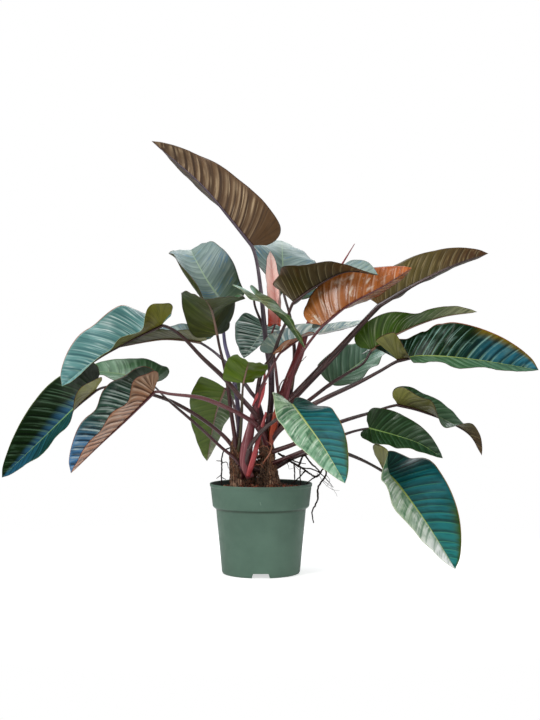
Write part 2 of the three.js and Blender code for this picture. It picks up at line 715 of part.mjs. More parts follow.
function potGeometry() {
  const { height, rimRadius, rimFootRadius, rimDepth, bodyRadius, footRadius, wall, raisedFloor } = POT;
  const lip = height - rimDepth;
  const corner = POT.footBevel;
  const { shelf, edge } = POT;
  const outer = [
    [footRadius - corner, 0],
    [footRadius - 2 * edge, 2 * edge],
    [footRadius, corner],
    [bodyRadius, lip - shelf],
    [rimFootRadius - edge, lip],
    [rimFootRadius, lip + shelf],
    [rimRadius, height - edge],
    [rimRadius - edge, height],
  ];
  const inner = [
    [rimRadius - wall, height],
    [rimFootRadius - wall, lip + shelf],
    [bodyRadius - wall, lip - shelf],
    [footRadius - wall, raisedFloor + wall],
    [0, raisedFloor + wall],
  ];
  const under = [
    [0, 0],
    [POT.padRadius, 0],
    [POT.padRadius, raisedFloor],
    [footRadius - 2 * wall, raisedFloor],
    [footRadius - corner - wall, 0],
  ];
  let pot = solidOf(turned([...under, ...outer, ...inner], POT.segments));
  for (let k = 0; k < NOTCH.count; k += 1) {
    const shape = new THREE.Shape([
      new THREE.Vector2(-NOTCH.width / 2, -1),
      new THREE.Vector2(NOTCH.width / 2, -1),
      new THREE.Vector2(NOTCH.topWidth / 2, NOTCH.height),
      new THREE.Vector2(-NOTCH.topWidth / 2, NOTCH.height),
    ]);
    const cutter = new THREE.ExtrudeGeometry(shape, { depth: footRadius, bevelEnabled: false });
    cutter.translate(0, 0, footRadius / 2).rotateX(Math.PI / 2).rotateZ((2 * Math.PI * k) / NOTCH.count);
    pot = pot.subtract(solidOf(cutter));
  }
  for (let k = 0; k < DRAIN.count; k += 1) {
    const hole = new THREE.CylinderGeometry(DRAIN.radius, DRAIN.radius, 4 * wall, DRAIN.sides);
    hole.rotateX(Math.PI / 2).translate(DRAIN.ring, 0, raisedFloor);
    hole.rotateZ((2 * Math.PI * (k + 0.5)) / DRAIN.count);
    pot = pot.subtract(solidOf(hole));
  }
  return pot;
}

// Soil: it fills the pot to a little below the rim, with a lumpy mounded top
function soilSolid() {
  const { height, rimDepth, rimRadius, rimFootRadius, bodyRadius, footRadius, wall, raisedFloor } = POT;
  const top = height - SOIL.edgeDepth;
  const lip = height - rimDepth;
  const clear = wall + SOIL.clearance;
  const edge = THREE.MathUtils.lerp(rimFootRadius, rimRadius, (top - lip) / rimDepth) - clear;
  const profile = [
    [0, raisedFloor + wall + GAP],
    [footRadius - clear, raisedFloor + wall + GAP],
    [bodyRadius - clear, lip - POT.shelf],
    [rimFootRadius - clear, lip + POT.shelf],
    [edge, top],
  ];
  for (let k = 1; k <= SOIL.rings; k += 1) {
    const share = k / SOIL.rings;
    profile.push([edge * (1 - share), top + SOIL.mound * Math.sin((share * Math.PI) / 2)]);
  }
  const geometry = turned(profile, SOIL.segments);
  const place = geometry.attributes.position;
  for (let k = 0; k < place.count; k += 1) {
    const [x, y, z] = [place.getX(k), place.getY(k), place.getZ(k)];
    // Lumps of 4 to 7 cm
    const lump = Math.sin(x / 9 + 1) * Math.cos(y / 11) + 0.6 * Math.sin((x + y) / 6);
    if (z > top + 0.1) place.setZ(k, z + lump * SOIL.roughness);
  }
  return solidOf(geometry);
}

// Tapering tube through points, with a radius for each point. It may start or stop part of the way along.
function tube(points, radii, sides, steps, from = 0, to = Infinity) {
  const path = new Path(points);
  const end = Math.min(to, path.length);
  const radiusAt = (share) => {
    const distance = from + (end - from) * share;
    let i = 0;
    while (i < radii.length - 2 && path.knots[i + 1] < distance) i += 1;
    const u = (distance - path.knots[i]) / (path.knots[i + 1] - path.knots[i]);
    return THREE.MathUtils.lerp(radii[i], radii[i + 1], THREE.MathUtils.clamp(u, 0, 1));
  };
  return loft(ringsAlong(path, from, end, steps, radiusAt, sides));
}

function joined(solids) {
  return solids.reduce((whole, solid) => whole.add(solid));
}

const plant = new THREE.Group();

function add(name, geometry, colour, roughness = 0.5) {
  const material = new THREE.MeshStandardMaterial({ color: colour, roughness, metalness: 0 });
  const mesh = new THREE.Mesh(geometry, material);
  mesh.name = name;
  plant.add(mesh);
}

add("pot", geometryOfSolid(potGeometry()), COLOURS.pot, 0.6);

let soil = soilSolid();
for (const [name, stem] of Object.entries(STEMS)) {
  const feet = Object.values(LEAVES).filter((leaf) => leaf.stem === name).map(stalkFootGeometry);
  const sheaths = stem.sheaths.map(({ points, radii }) => tube(points, radii, SHEATH.sides, SHEATH.steps));
  if (name === "right") {
    feet.push(tube(SPEAR.points, SPEAR.radii, SPEAR.sides, SPEAR.footSteps, 0, SPEAR.foot - GAP));
  }
  const trunk = tube(stem.points, stem.radii, TRUNK.sides, TRUNK.steps);
  const whole = joined([trunk, ...feet, ...sheaths].map(solidOf));
  add(`stem_${name}`, geometryOfSolid(whole), COLOURS.stem, 0.8);
  const [foot, ...rest] = stem.points;
  const room = stem.radii.map((radius) => radius + GAP);
  const hole = tube([foot.with(2, foot[2] - GAP), ...rest], room, TRUNK.sides, TRUNK.steps);
  soil = soil.subtract(solidOf(hole));
}
add("soil", geometryOfSolid(soil), COLOURS.soil, 0.95);
add("spear", tube(SPEAR.points, SPEAR.radii, SPEAR.sides, SPEAR.steps, SPEAR.foot), COLOURS.spear);
for (const [name, roots] of Object.entries(ROOTS)) {
  const parts = roots.map(({ points, radii }) => {
    return solidOf(tube(points, radii, ROOT.sides, ROOT.steps * (points.length - 1)));
  });
  add(`roots_${name}`, geometryOfSolid(joined(parts)), COLOURS.root, 0.8);
}

for (const [name, leaf] of Object.entries(LEAVES)) {
  add(`leaf_${name}`, bladeGeometry(leaf), leaf.colour);
  add(`stalk_${name}`, stalkGeometry(leaf), COLOURS.stalk);
}

export default plant;
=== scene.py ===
"""A philodendron with long arrow-shaped leaves in a green nursery pot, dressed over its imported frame.
Shapes are given in millimetres, +Z up, with the origin in the middle of the pot's underside."""
import math

import bmesh
import bpy
import numpy as np
from mathutils import Matrix, Vector

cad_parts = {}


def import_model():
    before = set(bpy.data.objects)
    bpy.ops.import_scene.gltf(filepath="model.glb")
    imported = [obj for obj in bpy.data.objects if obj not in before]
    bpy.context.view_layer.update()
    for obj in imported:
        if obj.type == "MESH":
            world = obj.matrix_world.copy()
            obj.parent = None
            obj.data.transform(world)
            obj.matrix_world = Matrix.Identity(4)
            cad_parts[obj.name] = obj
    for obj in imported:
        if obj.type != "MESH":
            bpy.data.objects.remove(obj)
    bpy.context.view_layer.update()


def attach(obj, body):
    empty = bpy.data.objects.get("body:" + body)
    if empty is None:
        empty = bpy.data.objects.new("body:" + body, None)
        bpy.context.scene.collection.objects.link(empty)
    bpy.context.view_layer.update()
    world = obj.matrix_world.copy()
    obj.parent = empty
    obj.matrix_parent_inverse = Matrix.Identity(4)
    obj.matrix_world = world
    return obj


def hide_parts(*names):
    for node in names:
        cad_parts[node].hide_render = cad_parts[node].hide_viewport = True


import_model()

MM = 0.001
TURN = 2 * np.pi
random = np.random.default_rng(11)

# Camera: level, 3.35 m in front of the pot's axis
CAMERA_AT, LENS, SENSOR = (21, -3350, 498.6), 71.55, 36

# Pot and soil
POT_HEIGHT, RIM_RADIUS, RIM_FOOT, RIM_DEPTH = 211, 120, 113, 55
BODY_RADIUS, FOOT_RADIUS, BEVEL, WALL, POT_FLOOR, PAD = 105, 91.5, 6, 2.4, 13, 14
LIP = POT_HEIGHT - RIM_DEPTH
POT_SIDES, HOLE_SIDES, SHARP_ANGLE, CORNER = 144, 24, 40, 0.7
# Profiles end just beside the axis
AXIS = 0.01
NOTCH = {"count": 3, "width": 42, "top_width": 35, "height": 11}
DRAIN = {"count": 4, "radius": 8, "ring": 48}
SOIL_TOP, MOUND, SOIL_CLEAR = POT_HEIGHT - 17, 11, 3.4
SOIL_EDGE = RIM_FOOT + (RIM_RADIUS - RIM_FOOT) * ((SOIL_TOP - LIP) / RIM_DEPTH) - SOIL_CLEAR - 0.6
SOIL_SIDES, SOIL_ROWS = 140, 56
# Fine peat, then chips of bark heaped higher towards the stems: count, sizes, share of the area, heap
CRUMBS = ((1200, 0.9, 2.6, 0.97, 0.3), (520, 1.6, 4.6, 0.8, 3.5))
FIBRES = 260

# Blades: the vein lines' layout is the same as in the CAD part
THICKNESS, ROWS, COLUMNS = 1.0, 132, 18
VEIN_BOW, FAN_SHARE, VEIN_LEAN = 0.35, 0.2, 1.5
VEIN_SHIFT, SHIFT_WAVES, RELIEF_WAVES, FRILL_WAVES = 0.18, 23, 37, (31, 53)
FRILL, GROOVE_DEPTH, GROOVE_WIDTH, EDGE_THINNER = 0.7, 0.5, 2.6, 0.35
ROUND_LOBE = np.array([(0.28, -0.8), (0.52, -1.0), (0.77, -0.75), (0.92, 0)])
POINTED_LOBE = np.array([(0.26, -0.3), (0.56, -0.7), (0.84, -1.0), (0.97, 0)])
SLENDER_BLADE = np.array([1.0, 0.97, 0.86, 0.67, 0.42, 0.16, 0])
FULL_BLADE = np.array([1.0, 0.99, 0.95, 0.83, 0.6, 0.29, 0])
OUTLINE_PLACES = (0.16, 0.3, 0.46, 0.63, 0.8, 0.94, 1)

# Stalks and midribs, stems and roots
STALK_SIDES, STALK_STEPS, STALK_RIDGES = 16, 56, 0.025
RIB_REACH, RIB_TIP, RIB_STEPS, RIB_SHARE, RIB_SINK = 0.97, 0.5, 44, 0.62, 0.1
STEM_RINGS, STEM_SIDES, STEM_LUMPS, STEM_SEEDS = 120, 56, 0.04, {"left": 3, "right": 5}
SHEATH_RINGS, SHEATH_SIDES, SPEAR_RINGS, SPEAR_SIDES = 40, 20, 110, 24
FOOT_RINGS, ROOT_SIDES, FIBRE_SIDES, BUMPS = 18, 8, 5, 24
# Fibres round each stem, and between the stems
GIRDLE, TANGLE = 260, 170

# Floor round the pot, in metres
FLOOR_RADIUS, FLOOR_FADE, FLOOR_DIM, FLOOR_GLOW, FLOOR_SIDES = 1.1, 0.45, 0.12, 0.62, 96


# Paths and surfaces

def smooth(low, high, x):
    u = np.clip((x - low) / (high - low), 0, 1)
    return u * u * (3 - 2 * u)


def between(values, share):
    """Value at shares of the way along a list of evenly spaced values, eased between them."""
    values = np.array(values, float)
    place = np.clip(share, 0, 1) * (len(values) - 1)
    i = np.minimum(np.floor(place).astype(int), max(len(values) - 2, 0))
    u = smooth(0, 1, place - i)
    return values[i] * (1 - u) + values[np.minimum(i + 1, len(values) - 1)] * u


def unit(v):
    return v / np.maximum(np.linalg.norm(v, axis=-1, keepdims=True), 1e-12)


def carried(direction, start):
    """A cross direction for each ring of a tube, carried along it without twist."""
    x = np.array(start, float)
    found = []
    for d in direction:
        x = unit(x - d * np.dot(x, d))
        found.append(x)
    return np.array(found)


class Path:
    """Smooth path through points, measured along its chords. It goes straight on past both ends."""

    def __init__(self, points):
        self.points = np.array(points, float)
        steps = np.linalg.norm(np.diff(self.points, axis=0), axis=1)
        self.knots = np.concatenate([[0], np.cumsum(steps)])
        self.length = self.knots[-1]
        place = np.arange(len(self.points))
        before, after = np.maximum(place - 1, 0), np.minimum(place + 1, len(self.points) - 1)
        reach = (self.knots[after] - self.knots[before])[:, None]
        self.slopes = (self.points[after] - self.points[before]) / reach

    def at(self, distance):
        """Points and directions at distances along the path."""
        distance = np.asarray(distance, float)
        d = np.clip(distance, 0, self.length)
        i = np.clip(np.searchsorted(self.knots, d, side="right") - 1, 0, len(self.knots) - 2)
        span = (self.knots[i + 1] - self.knots[i])[..., None]
        u = (d - self.knots[i])[..., None] / span
        a, b, s, t = self.points[i], self.points[i + 1], self.slopes[i], self.slopes[i + 1]
        point = a * (2 * u**3 - 3 * u**2 + 1) + s * span * (u**3 - 2 * u**2 + u)
        point += b * (3 * u**2 - 2 * u**3) + t * span * (u**3 - u**2)
        direction = a * (6 * u**2 - 6 * u) / span + s * (3 * u**2 - 4 * u + 1)
        direction = unit(direction + (b * (6 * u - 6 * u**2) / span + t * (3 * u**2 - 2 * u)))
        return point + direction * (distance - d)[..., None], direction


def pick(options):
    return options[int(random.integers(0, len(options)))]


def turns_of(sides):
    return np.linspace(0, TURN, sides + 1)[:-1]


def radius_of(path, radii):
    return lambda share: np.interp(share * path.length, path.knots, radii)


def flattened(wide, deep):
    """Cross-section of a tube that is wider than deep."""
    return lambda share, turn: 1 / np.sqrt((np.cos(turn) / wide) ** 2 + (np.sin(turn) / deep) ** 2)


def linked(name, data):
    piece = bpy.data.objects.new(name, data)
    bpy.context.scene.collection.objects.link(piece)
    return piece


class Shape:
    """Collects grids of points into one mesh with texture coordinates and material slots."""

    def __init__(self):
        self.points, self.faces, self.uvs, self.shares, self.slots = [], [], [], [], []
        self.count = 0

    def grid(self, points, u, v, slot=0, closed=False, flip=False, share=None):
        """points: rows x columns x 3, in mm. u and v: texture coordinates, with one column more when closed.
        share: how far along a blade each point is, from the end of the lobes to the tip."""
        rows, columns = points.shape[:2]
        i, j = np.meshgrid(np.arange(rows - 1), np.arange(columns if closed else columns - 1), indexing="ij")
        steps = np.array([(0, 0), (0, 1), (1, 1), (1, 0)])[::-1 if flip else 1]
        i, j = i.reshape(-1, 1) + steps[:, 0], j.reshape(-1, 1) + steps[:, 1]
        self.uvs.append(np.stack([u[i, j], v[i, j]], -1).reshape(-1, 2))
        self.shares.append(np.stack([(u if share is None else share)[i, j], v[i, j]], -1).reshape(-1, 2))
        self.points.append(points.reshape(-1, 3))
        self.faces += (i * columns + j % columns + self.count).tolist()
        self.slots += [slot] * len(i)
        self.count += rows * columns

    def cap(self, ring, slot, flip=False):
        """Flat end over a ring of points."""
        corners = list(range(self.count, self.count + len(ring)))
        self.points.append(ring)
        self.faces.append(corners[::-1] if flip else corners)
        for values in (self.uvs, self.shares):
            values.append(np.zeros((len(ring), 2)))
        self.slots.append(slot)
        self.count += len(ring)

    def skin(self, centre, x, y, r, distance, starts):
        """Rings about centres, in the planes of x and y, with both ends closed.
        starts: the first ring and the slot of each stretch."""
        turn = np.linspace(0, TURN, r.shape[1])
        ring = x[:, None] * np.cos(turn)[:, None] + y[:, None] * np.sin(turn)[:, None]
        points = (centre[:, None] + ring * r[..., None])[:, :-1]
        u, v = np.tile(turn / TURN, (len(r), 1)), np.tile((distance * MM)[:, None], (1, r.shape[1]))
        for (first, slot), (last, _) in zip(starts, starts[1:] + [(len(r) - 1, None)]):
            part = slice(first, last + 1)
            self.grid(points[part], u[part], v[part], slot, closed=True)
        self.cap(points[0], starts[0][1], flip=True)
        self.cap(points[-1], starts[-1][1])

    def tube(self, path, rings, sides, radius, slot=0, lumps=None, start=0, end=None):
        """Tube along a path, or a part of it. radius and lumps are functions of the share of the way."""
        share = np.linspace(0, 1, rings)
        distance = start + ((path.length if end is None else end) - start) * share
        centre, direction = path.at(distance)
        x = carried(direction, (1, 0.2, 0.1))
        r = radius(share)[:, None] * np.ones((1, sides + 1))
        if lumps is not None:
            r = r * lumps(share[:, None], np.linspace(0, TURN, sides + 1)[None, :])
        r[:, -1] = r[:, 0]
        self.skin(centre, x, np.cross(direction, x), r, distance, [(0, slot)])

    def build(self, name, materials, replaces):
        """Mesh object from what was collected, in place of the CAD node."""
        mesh = bpy.data.meshes.new(name)
        mesh.from_pydata((np.concatenate(self.points) * MM).tolist(), [], self.faces)
        for layer, values in (("Veins", self.uvs), ("Share", self.shares)):
            mesh.uv_layers.new(name=layer).data.foreach_set("uv", np.concatenate(values).ravel())
        mesh.polygons.foreach_set("material_index", self.slots)
        for material in materials:
            mesh.materials.append(material)
        work = bmesh.new()
        work.from_mesh(mesh)
        bmesh.ops.remove_doubles(work, verts=work.verts, dist=2e-6)
        for face in work.faces:
            face.smooth = True
        work.to_mesh(mesh)
        work.free()
        mesh.validate()
        piece = linked(name, mesh)
        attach(piece, "root")
        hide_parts(replaces)
        return piece


# Materials

def linear(colour):
    """Blender's linear colour from 0xrrggbb. A socket stays as it is."""
    if not isinstance(colour, int):
        return colour
    channels = [(colour >> shift & 255) / 255 for shift in (16, 8, 0)]
    return tuple(c / 12.92 if c <= 0.04045 else ((c + 0.055) / 1.055) ** 2.4 for c in channels) + (1,)


class Maker:
    """Adds nodes to one material, and keeps the colour that is laid so far."""

    def __init__(self, name, colour, **shader):
        self.material = bpy.data.materials.new(name)
        self.material.use_nodes = True
        self.tree = self.material.node_tree
        self.shader = self.tree.nodes["Principled BSDF"]
        self.fill(self.shader, {key.replace("_", " "): value for key, value in shader.items()})
        self.colour = colour

    def fill(self, node, inputs):
        for key, value in inputs.items():
            if isinstance(value, bpy.types.NodeSocket):
                self.tree.links.new(value, node.inputs[key])
            else:
                node.inputs[key].default_value = value

    def node(self, kind, inputs=(), **settings):
        node = self.tree.nodes.new("ShaderNode" + kind)
        for key, value in settings.items():
            setattr(node, key, value)
        self.fill(node, dict(inputs))
        return node.outputs

    def math(self, operation, a, b=0.0):
        return self.node("Math", {0: a, 1: b}, operation=operation)[0]

    def times(self, value, *others):
        for other in others:
            value = self.math("MULTIPLY", value, other)
        return value

    def plus(self, value, *others):
        for other in others:
            value = self.math("ADD", value, other)
        return value

    def ramp(self, value, low, high, out_low=0.0, out_high=1.0):
        """Smooth change of a value from one range to another."""
        inputs = {"Value": value, "From Min": low, "From Max": high, "To Min": out_low, "To Max": out_high}
        return self.node("MapRange", inputs, interpolation_type="SMOOTHSTEP")["Result"]

    def lay(self, colour, *shares):
        """Lays a colour over the others, by the product of the shares."""
        inputs = {0: self.times(*shares), 6: linear(self.colour), 7: linear(colour)}
        self.colour = self.node("Mix", inputs, data_type="RGBA")[2]

    def noise(self, vector, scale, detail=3.0, rough=0.5, distortion=0.0):
        grain = {"Scale": scale, "Detail": detail, "Roughness": rough, "Distortion": distortion}
        return self.node("TexNoise", {"Vector": vector} | grain)["Fac"]

    def spots(self, colour, noise, low, high, most=1.0):
        """Lays a colour where a noise is high, and returns the noise.
        noise: its scale, detail, roughness and distortion."""
        field = self.noise(self.place(), *noise)
        self.lay(colour, self.ramp(field, low, high, 0.0, most))
        return field

    def place(self):
        return self.node("TexCoord")["Object"]

    def uv(self, layer="Veins"):
        return self.node("SeparateXYZ", {0: self.node("UVMap", uv_map=layer)[0]})[:2]

    def vector(self, x, y, z):
        return self.node("CombineXYZ", {0: x, 1: y, 2: z})[0]

    def from_axis(self):
        """Distance from the pot's axis, and height."""
        x, y, z = self.node("SeparateXYZ", {0: self.place()})
        return self.math("SQRT", self.plus(self.times(x, x), self.times(y, y))), z

    def strands(self, round_scale, along_scale):
        """Place on a tube without a seam, stretched along it."""
        around, along = self.uv()
        ring = self.times(around, TURN)
        x, y = (self.times(self.math(kind, ring), round_scale) for kind in ("COSINE", "SINE"))
        return self.vector(x, y, self.times(along, along_scale))

    def done(self, rough=None, height=None, distance=0.0):
        inputs = {"Base Color": self.colour}
        if rough is not None:
            inputs["Roughness"] = rough
        if height is not None:
            inputs["Normal"] = self.node("Bump", {"Height": height, "Distance": distance, "Strength": 1.0})[0]
        self.fill(self.shader, inputs)
        return self.material


def blade_material(name, base, middle, tip, near, shade, light, rib, edge, rough=0.35, coat=0.05,
                   specular=0.33, near_show=0.3, bands=0.6, streaks=0.4, wide=0.5, fringe=None,
                   patches=0.0, rib_width=0.045, near_reach=0.42, gleam=0.0, bare=0.26, veins=None,
                   reflected_dashes=None, early=0.0):
    """One face of a blade. base, middle and tip follow each other along it, near lies beside the midrib,
    shade and light alternate across the side veins past the bare lobes as painted shade and painted
    highlights, light also lays the painted glints where gleam is set, fringe lies beside the edge towards
    the tip, and dashes are painted blue reflections along the side veins. The colours change earlier by
    early."""
    m = Maker(name, base, Coat_Weight=coat, Coat_Roughness=0.2, Specular_IOR_Level=specular)
    count, across = m.uv()
    share = m.uv("Share")[0]

    def veined(along, out, z, *noise):
        """Noise stretched along the side veins."""
        return m.noise(m.vector(m.times(count, along), m.times(across, out), z), *noise)

    drift = m.times(m.plus(m.noise(m.place(), 11, 2), -0.5), 0.3)
    grown = m.plus(share, drift, early)
    m.lay(middle, m.ramp(grown, 0.2, 0.42))
    m.lay(tip, m.ramp(grown, 0.6, 0.95))
    if fringe is not None:
        m.lay(fringe, m.ramp(grown, 0.55, 0.7), m.ramp(across, 0.7, 0.97))
    m.lay(near, m.ramp(m.plus(across, drift), near_reach, 0.05), near_show)
    if patches:
        blots = veined(0.45, 1.7, 3.0, 1.3, 3, 0.6, 0.8)
        m.lay(shade, m.ramp(blots, 0.42, 0.62), m.ramp(grown, 0.95, 0.6), patches)
    # Painted highlights: glints of the light colour in patches
    if gleam:
        within = m.times(m.ramp(across, 0.05, 0.2), m.ramp(across, 0.95, 0.7), m.ramp(grown, 0.95, 0.7))
        glints = veined(0.7, 2.1, 7.0, 1.2, 3, 0.6, 0.6)
        m.lay(light, m.ramp(glints, 0.52, 0.68), within, gleam)
    # Painted shade and painted highlights on the pillows between the side veins: shaded on one side and lit
    # on the other, more in some places
    vein = m.math("FRACT", m.plus(count, m.times(drift, 0.5)))
    open_out = m.times(m.ramp(share, bare - 0.18, bare), m.ramp(across, 1.0, 0.8))
    varied = m.ramp(veined(0.6, 1.1, 0.0, 1.0, 1), 0.36, 0.62)
    m.lay(shade, m.ramp(vein, 0.5, 0.85), m.ramp(vein, 1.0, 0.93), open_out, bands)
    shown = m.ramp(varied, 0.0, 1.0, 0.35, 1.0)
    m.lay(light, m.ramp(vein, 0.0, 0.12), m.ramp(vein, wide, 0.14), open_out, shown, bands)
    # Fine lines that run with the veins
    lines = veined(3.7, 0.7, 0.0, 1.0, 2)
    m.lay(light, m.ramp(lines, 0.53, 0.66), open_out, varied, streaks)
    m.lay(shade, m.ramp(lines, 0.46, 0.34), 0.45)
    # Painted blue reflections: dashes along the side veins
    if reflected_dashes is not None:
        reflected_marks = veined(2.3, 1.3, 5.0, 1.4, 3, 0.6)
        m.lay(reflected_dashes, m.ramp(reflected_marks, 0.54, 0.6), m.ramp(m.noise(m.place(), 15, 2), 0.47, 0.58), 0.75)
    off = m.math("ABSOLUTE", m.plus(vein, -0.5))
    if veins is None:
        m.lay(rib, m.ramp(off, 0.45, 0.5), m.ramp(across, 0.6, 0.1, 0.0, 0.45))
    else:
        m.lay(veins, m.ramp(off, 0.44, 0.49), m.ramp(across, 1.0, 0.7), 0.75)
    tapered = m.times(across, m.ramp(share, 0.3, 1.0, 1.0, 2.4))
    m.lay(rib, m.ramp(tapered, rib_width, rib_width * 0.3))
    m.lay(edge, m.ramp(across, 0.972, 0.99))
    speckle = m.noise(m.place(), 70, 2)
    roughness = m.ramp(speckle, 0.3, 0.7, rough - 0.05, rough + 0.07)
    return m.done(roughness, m.plus(m.times(lines, 0.5), m.times(speckle, 0.12)), 0.0005)


def stalk_material(name, low, high, streak, rough=0.32):
    """Leaf stalk: streaked along its length, and changing colour from its foot upwards."""
    m = Maker(name, low, Coat_Weight=0.3, Coat_Roughness=0.2)
    lines = m.noise(m.strands(2.6, 9), 1.6, 4, 0.6)
    blotches = m.noise(m.place(), 30, 3, 0.6)
    m.lay(high, m.ramp(m.plus(m.uv()[1], m.times(blotches, 0.12)), 0.1, 0.3))
    m.lay(streak, m.ramp(lines, 0.5, 0.7, 0.0, 0.75))
    m.lay(high, m.ramp(blotches, 0.55, 0.75, 0.0, 0.4))
    return m.done(m.ramp(blotches, 0.3, 0.7, rough - 0.05, rough + 0.12), lines, 0.0008)


def bark_material(name, dark, light, red):
    m = Maker(name, dark, Specular_IOR_Level=0.3)
    fibres = m.noise(m.strands(3, 22), 2.2, 5, 0.7, 0.5)
    m.lay(light, m.ramp(fibres, 0.4, 0.62))
    m.spots(red, (45, 4, 0.7), 0.5, 0.66, 0.8)
    m.spots(dark, (150, 3, 0.7), 0.58, 0.7, 0.7)
    return m.done(m.ramp(fibres, 0.3, 0.7, 0.7, 0.9), fibres, 0.0025)


def pot_plastic():
    m = Maker("pot_plastic", 0x4C6859, Coat_Weight=0.05, Coat_Roughness=0.3, Specular_IOR_Level=0.4)
    m.spots(0x587565, (9, 4, 0.6), 0.3, 0.7)
    scuffs = m.spots(0x8FA79A, (55, 5, 0.75, 0.6), 0.64, 0.74, 0.35)
    m.spots(0x3C4A40, (210, 3, 0.7), 0.68, 0.78, 0.4)
    # Painted shade on the inner wall of the rim, below its top edge
    distance, z = m.from_axis()
    lean = m.times(m.plus(z, -POT_HEIGHT * MM), (RIM_RADIUS - RIM_FOOT) / RIM_DEPTH)
    behind = m.math("SUBTRACT", m.plus(lean, RIM_RADIUS * MM), distance)
    m.lay(0x1C2A24, m.ramp(behind, 0.0012, 0.0016), m.ramp(z, 0.16, 0.165), m.ramp(z, 0.2095, 0.208))
    # Painted shadow in the crease under the rim
    m.lay(0x2E3A2C, m.ramp(z, 0.147, 0.153), m.ramp(z, 0.1562, 0.1545), 0.65)
    return m.done(m.ramp(scuffs, 0.4, 0.7, 0.42, 0.55), m.noise(m.place(), 900, 2), 0.00012)


def soil_material():
    m = Maker("potting_soil", 0x1C120D, Specular_IOR_Level=0.3)
    bits = m.spots(0x4A2C1E, (130, 4, 0.7), 0.35, 0.6)
    m.spots(0x7A4630, (260, 3, 0.7, 0.4), 0.55, 0.68, 0.9)
    m.spots(0xA58468, (420, 2, 0.6), 0.7, 0.78, 0.7)
    return m.done(m.ramp(bits, 0.3, 0.7, 0.75, 0.95), bits, 0.002)


def soil_chip(name, dark, light):
    m = Maker(name, dark, Specular_IOR_Level=0.3, Roughness=0.85)
    m.spots(light, (120, 3, 0.7), 0.35, 0.65)
    return m.done()


def palette(face, rows):
    """Blade materials named after the face and the key."""
    return {key: blade_material(f"{face}_{key}", *colours, **options)
            for key, (colours, options) in rows.items()}


